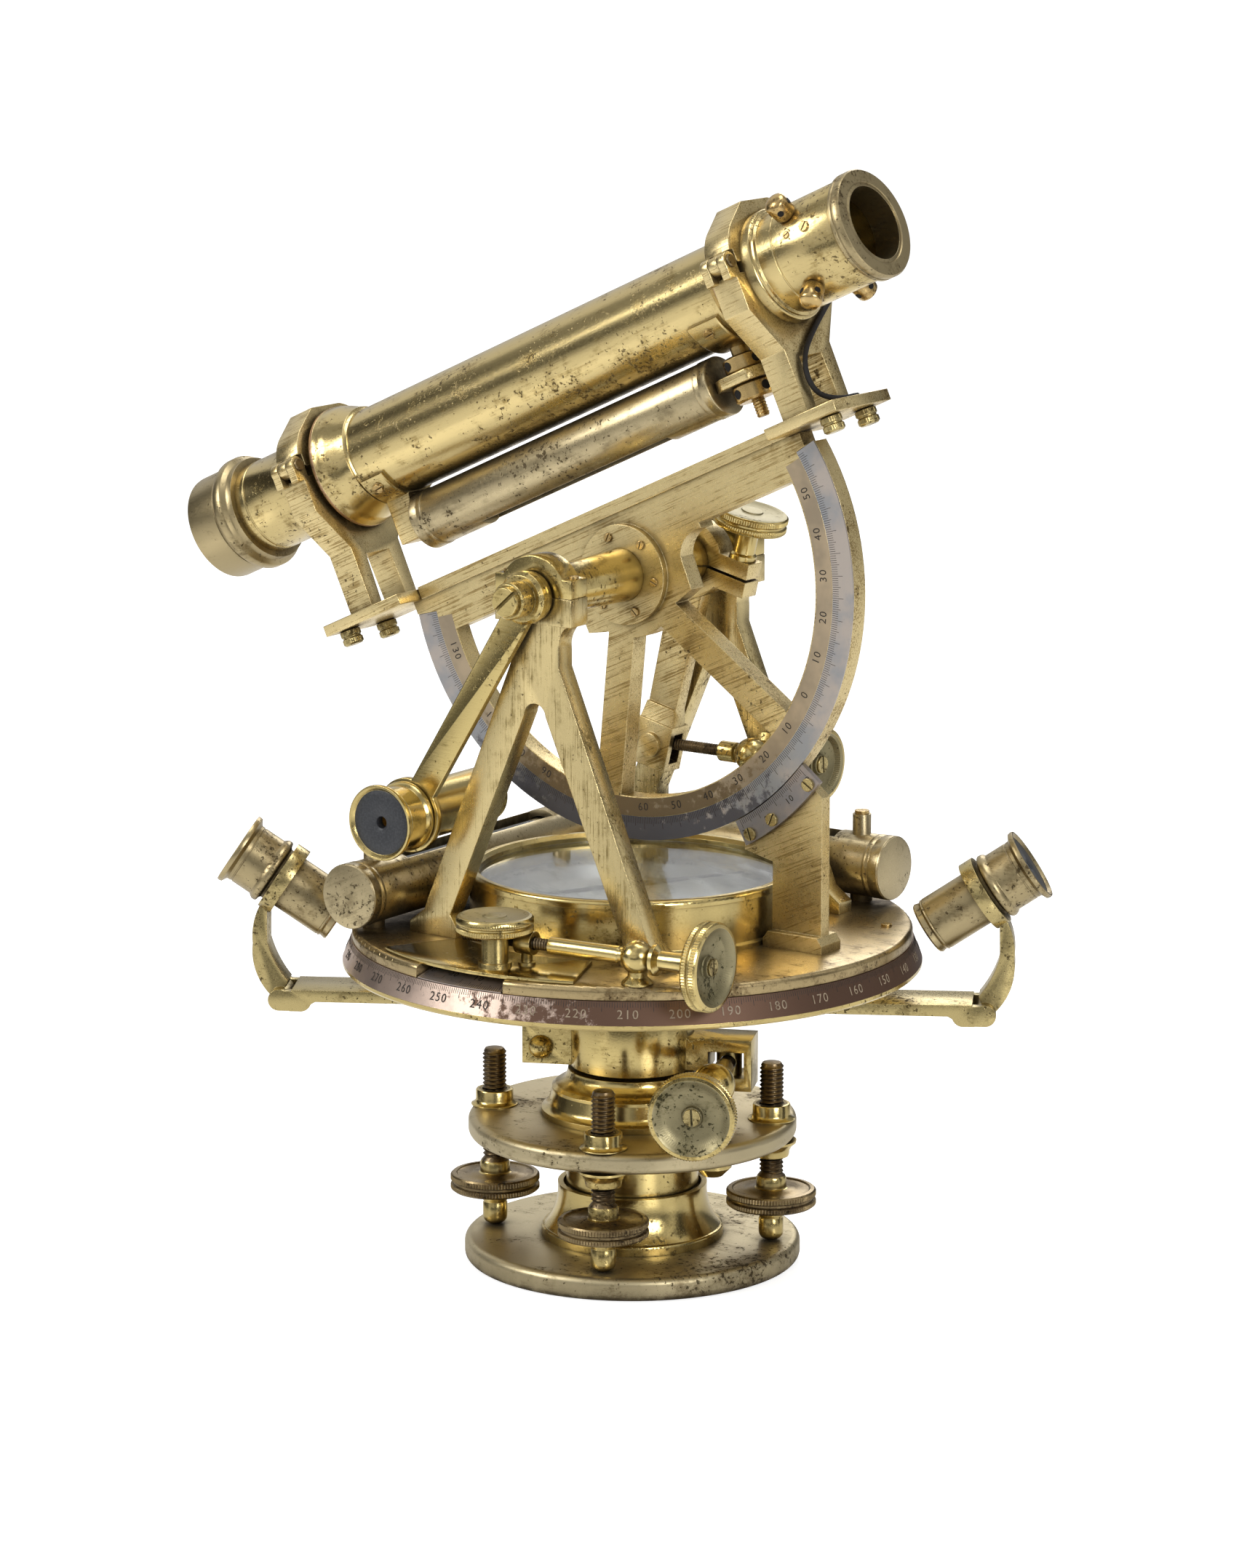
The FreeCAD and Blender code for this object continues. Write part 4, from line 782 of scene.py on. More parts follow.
def slab(work: bmesh.types.BMesh, points: Profile, low: float, high: float, shrink: float) -> None:
    """Add a flat block with a chamfered top.

    Args:
        work: Mesh that it is added to.
        points: Its outline.
        low: Height of its foot.
        high: Height of its top.
        shrink: Size of the top against the outline.
    """
    lower = [work.verts.new((x, y, low)) for x, y in points]
    upper = [work.verts.new((x, y, high - 0.06)) for x, y in points]
    top = [work.verts.new((x * shrink, y * shrink + 0.01 * y, high)) for x, y in points]
    work.faces.new(lower[::-1])
    work.faces.new(top)
    for before, after in ((lower, upper), (upper, top)):
        for i in range(len(points)):
            j = (i + 1) % len(points)
            work.faces.new((before[i], before[j], after[j], after[i]))


def slotted_head() -> bpy.types.Object:
    """Screw head of unit radius: a disc with two domed halves and a slot between."""
    found = bpy.data.objects.get("slotted_head")
    if found:
        return found
    work = bmesh.new()
    ring = [polar(0.995, 15.0 * i) for i in range(24)]
    slab(work, ring, -0.2, 0.12, 0.99)
    slot = 0.13
    base = math.degrees(math.asin(slot))
    for start in (base, 180.0 + base):
        sweep = 180.0 - 2 * base
        half = [polar(1.0, start + sweep * i / 12) for i in range(13)]
        slab(work, half, 0.05, 0.5, 0.93)
    mesh = bpy.data.meshes.new("slotted_head")
    work.to_mesh(mesh)
    work.free()
    smooth(mesh, 30.0)
    return linked("slotted_head", mesh)


def screw_set(spots: list[tuple[Vector, Vector, float]], finish: Finish, seed: int = 3) -> bpy.types.Mesh:
    """Slotted screw heads.

    Args:
        spots: Foot point, axis and head radius of each screw, in millimetres.
        finish: Their finish.
        seed: Seed of the slot angles.

    Returns:
        One mesh of all heads.
    """
    mesh = bpy.data.meshes.new("screws")
    mesh.from_pydata([tuple(s[0]) for s in spots], [], [])
    axes = [c for s in spots for c in s[1]]
    mesh.attributes.new("axis", "FLOAT_VECTOR", "POINT").data.foreach_set("vector", axes)
    sizes = [s[2] for s in spots]
    mesh.attributes.new("size", "FLOAT", "POINT").data.foreach_set("value", sizes)
    return evaluated(mesh, Trees.screw_heads(), {
        "Head": slotted_head(), "Seed": seed, "Material": finish.material,
    })


@dataclass
class Scale:
    """Graduation lines round the local Z axis."""

    radius: float
    start: float
    step: float
    count: int
    length: float = 2.0
    width: float = 0.11
    lean: float = 0.0
    side: float = 1.0
    phase: int = 0
    finish: Finish = Finish.INK

    def mesh(self) -> bpy.types.Mesh:
        """Lines with their outer or inner ends on the radius."""
        empty = bpy.data.meshes.new("lines")
        return evaluated(empty, Trees.graduations(), {
            "Count": self.count, "Start": math.radians(self.start),
            "Step": math.radians(self.step), "Radius": self.radius, "Length": self.length,
            "Width": self.width, "Lean": self.lean, "Side": self.side, "Phase": self.phase,
            "Material": self.finish.material,
        })


def figures(text: str, size: float, place: Matrix, finish: Finish, spacing: float = 1.2) -> bpy.types.Mesh:
    """Engraved figures as a thin mesh.

    Args:
        text: The figures.
        size: Height of the type in millimetres.
        place: Local XY plane that they stand on.
        finish: Their finish.
        spacing: Letter spacing.

    Returns:
        The mesh at its place.
    """
    curve = bpy.data.curves.new("figures", "FONT")
    curve.body = text
    curve.size = size
    curve.extrude = 0.02
    curve.resolution_u = 3
    curve.space_character = spacing
    curve.align_x = "CENTER"
    curve.align_y = "CENTER"
    return painted(placed(plain_mesh(linked("figures", curve)), place), finish)


def refined(node: str, bevel: float = 0.22, degrees: float = 34.0) -> bpy.types.Mesh:
    """Merged copy of a CAD node, in millimetres, ready for a rounded edge.

    Args:
        node: CAD node.
        bevel: Width of the rounding in millimetres, or zero for none.
        degrees: Edges sharper than this are rounded.

    Returns:
        A new mesh in the millimetre frame.
    """
    work = bmesh.new()
    work.from_mesh(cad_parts[node].data)
    bmesh.ops.scale(work, vec=(METRE, METRE, METRE), verts=work.verts)
    bmesh.ops.remove_doubles(work, verts=work.verts, dist=MERGE_DISTANCE)
    bmesh.ops.dissolve_limit(work, angle_limit=math.radians(FLAT_ANGLE), verts=work.verts,
                             edges=work.edges)
    mesh = bpy.data.meshes.new(f"{node}_refined")
    work.to_mesh(mesh)
    work.free()
    if bevel:
        holder = linked("holder", mesh)
        rounding = holder.modifiers.new("rounding", "BEVEL")
        rounding.width = bevel
        rounding.segments = 2
        rounding.limit_method = "ANGLE"
        rounding.angle_limit = math.radians(degrees)
        rounding.use_clamp_overlap = True
        mesh = plain_mesh(holder)
    mesh.materials.clear()
    smooth(mesh, 30.0)
    return mesh


def basis(origin: Vector, right: Vector, up: Vector) -> Matrix:
    """Place of a flat figure from its origin, its right hand and its top."""
    normal = right.cross(up)
    turn = Matrix((right, up, normal)).transposed().to_4x4()
    return Matrix.Translation(origin) @ turn


def on_cone(radius: float, height: float, azimuth: float, slope: float, lift: float = 0.03) -> Matrix:
    """Place of a figure standing on a cone about the vertical axis.

    Args:
        radius: Radius of the spot.
        height: Height of the spot.
        azimuth: Its direction in degrees.
        slope: Angle of the surface normal above the horizontal.
        lift: Height above the surface.

    Returns:
        The placement matrix.
    """
    out = Vector((*polar(1.0, azimuth), 0.0))
    rise = math.radians(slope)
    normal = out * math.cos(rise) + Vector((0, 0, math.sin(rise)))
    up = Vector((0, 0, math.cos(rise))) - out * math.sin(rise)
    origin = out * radius + Vector((0, 0, height)) + normal * lift
    return basis(origin, up.cross(normal), up)


def on_ring(radius: float, degrees: float, height: float) -> Matrix:
    """Place of a figure on a flat ring with its top toward the centre."""
    out = Vector((*polar(1.0, degrees), 0.0))
    return basis(out * radius + Vector((0, 0, height)), Vector((-out.y, out.x, 0.0)), -out)


def refine(node: str, finish: Finish, body: str, bevel: float = 0.22) -> None:
    """Replace a CAD node by its own shape with rounded edges."""
    publish(f"{node}_body", refined(node, bevel), Matrix.Identity(4), finish, body, (node,))


# ------------------------------------------------------------------------ sub-assemblies

@dataclass
class LevellingBase:
    """Foot plate, bell, tipping head and four levelling screws."""

    circle: float = 37.8
    first: float = 23.7
    head: float = 12.0

    def build(self) -> None:
        """Dress the plates and make the screws and their bosses."""
        for node in ("lower_plate", "upper_plate"):
            dress(node, Finish.PLATE)
        for node in ("bell", "swivel_cup", "centre_socket"):
            dress(node, Finish.LACQUER)
        for index in range(4):
            x, y = polar(self.circle, self.first + 90 * index)
            self.screw(index + 1, shift(x, y))
        self.bosses()

    def screw(self, number: int, place: Matrix) -> None:
        """One levelling screw."""
        rim = self.head
        profile = [
            (0, 6.37), (1.0, 6.42), (1.9, 6.66), (2.7, 7.2), (3.15, 7.9), (3.3, 8.8), (3.3, 12.3),
            (3.15, 12.5), (3.15, 12.9), (3.3, 13.1), (3.3, 15.4), (4.6, 15.9), (6.2, 16.0),
            (rim - 0.7, 16.05), (rim, 16.6), (rim, 17.6), (rim - 0.75, 18.0), (rim - 0.75, 18.6),
            (rim, 19.0), (rim, 20.2), (rim - 0.5, 20.65), (rim - 1.5, 20.75), (rim - 1.9, 20.4),
            (6.6, 20.4), (6.2, 20.7), (4.4, 20.8), (4.0, 21.1), (4.0, 23.6), (3.7, 24.2),
            (3.25, 25.0), (3.25, 54.4), (2.5, 55.2), (0, 55.5),
        ]
        turned_piece = Turned(profile, 180, milled=[(16.6, 17.6, 0.3), (19.0, 20.2, 0.3)],
                              threaded=[(25.0, 54.4, 0.6)], pitch=1.15)
        wide = 2 * rim
        mesh = turned_piece.toned(Finish.LACQUER, (15.9, wide, Finish.BRONZED),
                                  (20.75, wide, Finish.LACQUER), (24.3, wide, Finish.THREAD))
        publish(f"levelling_screw_{number}", mesh, place,
                Finish.BRONZED, f"screw_{number}", (f"level_screw_{number}",))

    def bosses(self) -> None:
        """Moulded collars above and below the upper plate."""
        upper = [(4.16, 44.05), (4.85, 44.0), (5.05, 43.7), (5.05, 41.3), (5.4, 40.5),
                 (6.3, 40.0), (6.3, 39.71), (4.16, 39.71)]
        lower = [(4.16, 29.62), (4.6, 29.65), (4.8, 30.2), (4.9, 31.2), (5.6, 32.4), (6.6, 33.3),
                 (6.7, 33.98), (4.16, 33.98)]
        rings = []
        for index in range(4):
            spot = shift(*polar(self.circle, self.first + 90 * index))
            for profile in (upper, lower):
                rings.append(placed(Turned(profile, 64, closed=True).mesh(Finish.LACQUER), spot))
        publish("screw_bosses", joined(rings), Matrix.Identity(4), Finish.LACQUER, "head")


@dataclass
class SlowMotion:
    """A long slow motion screw with a dished milled head."""

    label: str
    body: str
    node: str
    place: Matrix
    thread: tuple[float, float, float]
    neck: tuple[float, float]
    ball: float
    rim: float
    head: float

    def build(self) -> None:
        """Make the screw and the slotted screw in its head."""
        shaft, back, front = self.thread
        after = 2 * self.ball - self.neck[0]
        r, h = self.rim, self.head
        mid = (after + 2.6 + h) / 2
        profile = [
            (0, back), (shaft - 0.4, back), (shaft, back + 0.4), (shaft, front),
            (self.neck[1], front + 0.6), (self.neck[1], self.neck[0] - 0.6),
            (1.95, self.neck[0] - 0.2), (1.95, after + 0.2), (3.7, after + 0.2),
            (4.1, after + 0.5), (4.1, after + 1.5), (3.5, after + 1.9), (2.6, after + 2.6),
            (2.7, mid), (3.1, h - 3.4), (3.2, h - 2.6), (4.1, h - 2.3), (4.1, h - 1.3),
            (3.4, h - 0.9), (3.8, h), (r - 0.9, h + 0.1), (r, h + 0.9), (r, h + 1.9),
            (r - 0.65, h + 2.25), (r - 0.65, h + 2.65), (r, h + 3.0), (r, h + 4.3),
            (r - 0.5, h + 4.75), (r - 1.4, h + 4.9), (r - 2.1, h + 4.5), (r * 0.72, h + 3.1),
            (r * 0.5, h + 2.45), (3.0, h + 2.3), (2.8, h + 2.5), (2.7, h + 3.4), (0, h + 3.45),
        ]
        cut = Turned(profile, 180, milled=[(h + 0.9, h + 1.9, 0.28), (h + 3.0, h + 4.3, 0.28)],
                     threaded=[(back + 0.4, front, 0.3)], pitch=0.8)
        screw = screw_set([(Vector((0, 0, h + 3.1)), UP, 2.3)], Finish.WORN, 5)
        mesh = joined([cut.toned(
            Finish.THREAD, (front + 0.3, 2 * r, Finish.LACQUER), (h + 2.2, r - 1.3, Finish.DISH)), screw])
        publish(self.label, mesh, self.place, Finish.LACQUER, self.body,
                (self.node,))


@dataclass
class LowerMotion:
    """Lower clamp, its screw and the slow motion between clamp and head."""

    def build(self) -> None:
        """Dress the clamp and make its screws."""
        refine("lower_clamp_collar", Finish.LACQUER, "lower_clamp", 0.3)
        dress("lower_tangent_post", Finish.LACQUER)
        dress("lower_clamp_screw", Finish.LACQUER)
        aim = (*polar(1.0, -65.0), 0.0)
        SlowMotion("lower_slow_motion", "lower_tangent", "lower_tangent_screw",
                   facing((*polar(26.2, 25.0), 55.0), aim),
                   (2.0, -9.0, 8.0), (19.9, 2.6), 26.3, 11.5, 55.6).build()


@dataclass
class Limb:
    """Horizontal circle with its conical silvered scale."""

    zero: float = 154.4

    def build(self) -> None:
        """Dress the limb, cut its lines and figures."""
        dress("limb", Finish.LACQUER)
        dress("limb_scale", Finish.LIMB_SILVER)
        lines = placed(Scale(74.69, self.zero, 0.5, 720, 2.5, 0.13, math.radians(68.0)).mesh(),
                       shift(z=88.4))
        marks = [lines]
        for number in range(0, 360, 10):
            spot = on_cone(75.93, 85.35, self.zero - number, 22.0)
            ink = Finish.PALE_INK if number in PALE_FIGURES else Finish.INK
            marks.append(figures(str(number), 3.3, spot, ink))
        publish("limb_figures", joined(marks), Matrix.Identity(4), Finish.INK, "limb")


@dataclass
class Alidade:
    """Vernier plate with its windows, screws, levels and slow motion."""

    def build(self) -> None:
        """Make everything that stands on the vernier plate."""
        refine("vernier_plate", Finish.DECK, "alidade", 0.3)
        dress("verniers", Finish.SILVER)
        dress("tangent_posts", Finish.LACQUER)
        dress("vernier_post", Finish.FILED)
        refine("azimuth_clamp_plate", Finish.LACQUER, "azimuth_clamp", 0.12)
        SlowMotion("azimuth_slow_motion", "azimuth_tangent", "azimuth_tangent_screw",
                   facing((8.9, -59.3, 98.9), (*polar(1.0, 5.4), 0.0)),
                   (1.6, -19.0, 6.6), (28.0, 2.3), 32.6, 11.5, 50.6).build()
        self.knob()
        self.verniers()
        self.levels()
        self.screws()

    def knob(self) -> None:
        """Milled disc that tightens the azimuth clamp."""
        profile = [
            (0, 102.15), (9.4, 102.15), (10.0, 102.6), (10.0, 103.6), (9.4, 103.95), (9.4, 104.35),
            (10.0, 104.7), (10.0, 105.9), (9.5, 106.4), (8.8, 106.6), (8.2, 106.35), (3.2, 106.25),
            (3.0, 106.5), (0, 106.6),
        ]
        cut = Turned(profile, 180, milled=[(102.6, 103.6, 0.25), (104.7, 105.9, 0.25)])
        publish("azimuth_knob_disc", cut.toned(Finish.LACQUER, (105.95, 9.6, Finish.DISH)),
                shift(3.3, -65.4), Finish.LACQUER, "azimuth_knob", ("azimuth_clamp_knob",))

    def verniers(self) -> None:
        """Lines and figures of the plate verniers and the upright vernier."""
        marks = []
        for middle in (-92.0, 88.0):
            lines = Scale(74.3, middle - 9.8, VERNIER_STEP, VERNIER_LINES, 3.0, 0.12,
                          math.radians(20.2), -1.0)
            marks.append(placed(lines.mesh(), shift(z=88.93)))
            for step, number in enumerate(("30", "20", "10", "0")):
                spot = on_cone(70.3, 90.4, middle - 9.8 + 6.53 * step, 69.8)
                marks.append(figures(number, 2.6, spot, Finish.INK))
        publish("plate_vernier_lines", joined(marks), Matrix.Identity(4), Finish.INK, "alidade")
        upright = shift(y=-1.45, z=AXIS_HEIGHT) @ turned(90, "X")
        lines = placed(Scale(71.25, -59.3, VERNIER_STEP, VERNIER_LINES, 2.6, 0.12).mesh(),
                       shift(z=1.61))
        marks = [lines]
        for step, number in enumerate(("30", "20", "10", "0")):
            marks.append(figures(number, 2.4, on_ring(75.0, -59.0 + 6.4 * step, 1.64), Finish.INK))
        spots = [(Vector((*polar(75.9, a), 1.5)), UP, 1.75)
                 for a in (-58.4, -52.2, -40.6)]
        marks.append(screw_set(spots, Finish.WORN, 11))
        publish("upright_vernier_lines", joined(marks), upright, Finish.INK, "alidade")

    def levels(self) -> None:
        """Plate levels: bodies, end mouldings, vials and adjusting nuts."""
        for node in ("left_level", "rear_level"):
            refine(node, Finish.LEVEL, "alidade", 0.3)
        dress("plate_vials", Finish.VIAL)
        rings = []
        for place, half in ((shift(-52.0, -2.75, 102.0) @ turned(-90, "X"), 52.75),
                            (shift(2.75, 56.0, 102.0) @ turned(90, "Y"), 43.75)):
            for side in (-1, 1):
                end = half * side
                near = end - 0.1 * side
                profile = [(8.45, near), (8.72, near - 0.3 * side), (8.72, near - 2.6 * side),
                           (8.52, near - 3.0 * side), (8.52, near - 3.6 * side),
                           (8.68, near - 3.9 * side), (8.68, near - 4.9 * side),
                           (8.45, near - 5.2 * side)]
                rings.append(placed(Turned(profile, 96, closed=True).mesh(Finish.LEVEL), place))
        publish("level_mouldings", joined(rings), Matrix.Identity(4), Finish.LEVEL, "alidade")

    def screws(self) -> None:
        """Slotted screws in feet, levels and plate."""
        spots = [(Vector((-52.0, y, 115.75)), UP, 2.0) for y in (-45.0, 39.5)]
        spots += [(Vector((x, 56.0, 115.75)), UP, 2.0) for x in (-30.5, 36.0)]
        for y in (-40.5, 40.5):
            spots += [(Vector((x, y, 95.0)), UP, 1.5) for x in (-39.0, 39.0)]
        spots += [(Vector((*polar(67.5, a), 91.95)), UP, 1.5) for a in (30, 75, 150, 212, 255, 320)]
        publish("plate_screws", screw_set(spots, Finish.GILT, 4), Matrix.Identity(4),
                Finish.GILT, "alidade")


@dataclass
class Compass:
    """Compass box with its ring, figures, rose and needle."""

    def build(self) -> None:
        """Dress the box and cut the figures of its dial."""
        dress("compass_box", Finish.LACQUER)
        dress("compass_bezel", Finish.LACQUER)
        dress("compass_glass", Finish.GLASS)
        dress("compass_dial", Finish.DIAL)
        dress("compass_needle", Finish.STEEL)
        marks = [
            placed(Scale(41.5, 0.0, 1.0, 360, 2.0, 0.14, side=-1.0).mesh(), shift(z=98.62)),
            placed(Scale(7.0, 0.0, 22.5, 16, 24.0, 0.3).mesh(), shift(z=95.02)),
        ]
        for number in range(0, 360, 10):
            marks.append(figures(str(number), 2.2, on_cone(37.6, 98.62, 90 - number, 90.0), Finish.INK))
        publish("dial_figures", joined(marks), Matrix.Identity(4), Finish.INK, "alidade")


@dataclass
class Microscope:
    """A turned reading microscope with a black eye face."""

    label: str
    node: str
    body: str
    place: Matrix
    length: float
    finish: Finish = Finish.DULL
    slot: str = "dull_brass"

    def build(self) -> None:
        """Make the tube and its black face."""
        end = self.length
        profile = [
            (8.5, 1.0), (8.9, 0.5), (9.4, 0.05), (9.9, 0.1), (10.05, 0.6), (9.9, 1.4), (8.8, 2.0),
            (8.4, 2.3), (8.35, 3.2), (8.2, 3.3), (8.2, 3.6), (8.35, 3.7), (8.35, 9.4),
            (8.9, 10.0), (9.2, 10.6), (9.2, 11.4), (8.9, 11.8), (8.0, 12.0), (7.5, 12.4),
            (7.5, 13.6), (7.4, 13.7), (7.4, 13.9), (7.5, 14.0), (7.5, end - 3.0),
            (7.35, end - 2.9), (7.35, end - 2.6), (7.5, end - 2.4), (7.0, end - 1.8),
            (7.3, end - 0.5), (7.0, end - 0.05), (5.2, end), (5.2, 6.0), (1.65, 3.6), (1.65, 1.3),
        ]
        tube = Turned(profile, 128, closed=True).mesh(self.finish)
        face = Turned([(1.62, 3.6), (1.62, 1.2), (2.2, 0.86), (8.4, 0.8), (8.62, 0.95), (8.6, 1.3),
                       (4.0, 2.2)], 96, closed=True).mesh(Finish.BLACK)
        publish(self.label, joined([tube, face]), self.place, self.finish, self.body,
                (self.node,))


@dataclass
class Readers:
    """Carrier ring, folding arms and reading microscopes."""

    turn: float = 30.0
    eye: tuple[float, float] = (105.7, 109.8)
    tip: tuple[float, float] = (78.2, 91.4)

    def build(self) -> None:
        """Make both readers."""
        refine("reader_ring", Finish.WORN, "reader_ring", 0.25)
        slope = math.atan2(self.eye[1] - self.tip[1], self.eye[0] - self.tip[0])
        for mark, degrees in (("a", self.turn), ("b", self.turn + 180)):
            refine(f"reader_arm_{mark}", Finish.WORN, f"reader_arm_{mark}", 0.3)
            out = polar(1.0, degrees)
            inward = (-out[0] * math.cos(slope), -out[1] * math.cos(slope), -math.sin(slope))
            place = facing((out[0] * self.eye[0], out[1] * self.eye[0], self.eye[1]), inward)
            Microscope(f"microscope_{mark}", f"reader_scope_{mark}", f"reader_scope_{mark}", place,
                       33.0).build()


@dataclass
class Standards:
    """Two leg plates with split bearings."""

    def build(self) -> None:
        """Round their edges and set the bearing screws."""
        for node in ("front_standard", "rear_standard"):
            refine(node, Finish.LEG, "alidade", 0.3)
        refine("bearing_caps", Finish.LACQUER, "alidade", 0.3)
        spots = [(Vector((x, y, 190.8)), UP, 1.25)
                 for y in (-40.5, 40.5) for x in (-10.4, 10.4)]
        publish("bearing_screws", screw_set(spots, Finish.GILT, 9), Matrix.Identity(4),
                Finish.GILT, "alidade")


@dataclass
class Cradle:
    """Vertical arc, trunnion and the two forked supports of the telescope."""

    zero: float = -49.5

    def build(self) -> None:
        """Make the arc, its scale and the supports."""
        dress("altitude_arc", Finish.FILED)
        dress("arc_scale", Finish.ARC_SILVER)
        dress("trunnion", Finish.LACQUER)
        dress("wye_hardware", Finish.BRONZED)
        for node in ("wye_left", "wye_right"):
            refine(node, Finish.FILED, "cradle", 0.3)
        self.scale()
        self.screws()

    def scale(self) -> None:
        """Lines on the silver and figures on the brass ring beside it."""
        marks = [self.band(), placed(Scale(64.7, self.zero - 140.0, 0.5, 398, 3.2, 0.12).mesh(),
                                     shift(z=2.91))]
        for number in range(0, 140, 10):
            if number <= 50:
                marks.append(self.number(number, self.zero + number))
            if number:
                marks.append(self.number(number, self.zero - number))
        publish("arc_figures", joined(marks), ARC_FACE, Finish.INK, "cradle")

    def band(self) -> bpy.types.Mesh:
        """Thin toned band that carries the figures."""
        steps = 120
        spots = []
        for step in range(steps + 1):
            angle = -188.5 + 197.0 * step / steps
            for radius, height in ((59.7, 2.9), (59.7, 2.915), (64.5, 2.915), (64.5, 2.9)):
                spots.append((*polar(radius, angle), height))
        faces = [(0, 1, 2, 3), tuple(4 * steps + i for i in (3, 2, 1, 0))]
        for step in range(steps):
            for i in range(4):
                a, b = 4 * step + i, 4 * step + (i + 1) % 4
                faces.append((a, a + 4, b + 4, b))
        mesh = bpy.data.meshes.new("figure_band")
        mesh.from_pydata(spots, [], faces)
        return painted(mesh, Finish.BAND)

    def number(self, value: int, degrees: float) -> bpy.types.Mesh:
        """One figure of the arc."""
        return figures(str(value), 3.0, on_ring(62.0, degrees, 2.94), Finish.INK)

    def screws(self) -> None:
        """Screws of the flanges, of the trunnion end and of the foot plates."""
        spots = [(Vector((*polar(10.4, a), 4.9)), UP, 1.15) for a in (90, 210, 330, 30, 150, 270)]
        publish("flange_screws", screw_set(spots, Finish.GILT, 2), ARC_FACE, Finish.GILT, "cradle")
        end = screw_set([(Vector((0, 0, 54.75)), UP, 3.9)], Finish.LACQUER, 8)
        publish("trunnion_end_screw", end, shift(z=AXIS_HEIGHT) @ turned(90, "X"), Finish.LACQUER,
                "cradle")
        studs = []
        for x in (-90.0, 80.5):
            for y in (-8.0, 8.0):
                profile = [(0, 15.6), (2.3, 15.6), (2.9, 15.2), (2.9, 13.9), (2.5, 13.6),
                           (2.5, 13.3), (2.9, 13.0), (2.9, 11.8), (2.3, 11.3), (0, 11.2)]
                cut = Turned(profile, 64, milled=[(13.9, 15.2, 0.2), (11.8, 13.0, 0.2)])
                studs.append(placed(cut.mesh(Finish.WORN), shift(x, y)))
        pins = []
        for station in (-82.0, 72.0):
            profile = [(0, -4.6), (1.5, -4.6), (1.7, -4.3), (1.7, -4.02), (0.95, -4.0), (0.95, 4.0),
                       (1.7, 4.02), (1.7, 4.3), (1.5, 4.6), (0, 4.6)]
            pin = Turned(profile, 32).mesh(Finish.BRONZED)
            pins.append(placed(pin, shift(station, -19.6, 60.4) @ turned(90, "Y")))
        publish("support_screws", joined(studs + pins), TIPPED, Finish.BRONZED, "cradle",
                ("wye_hardware",))


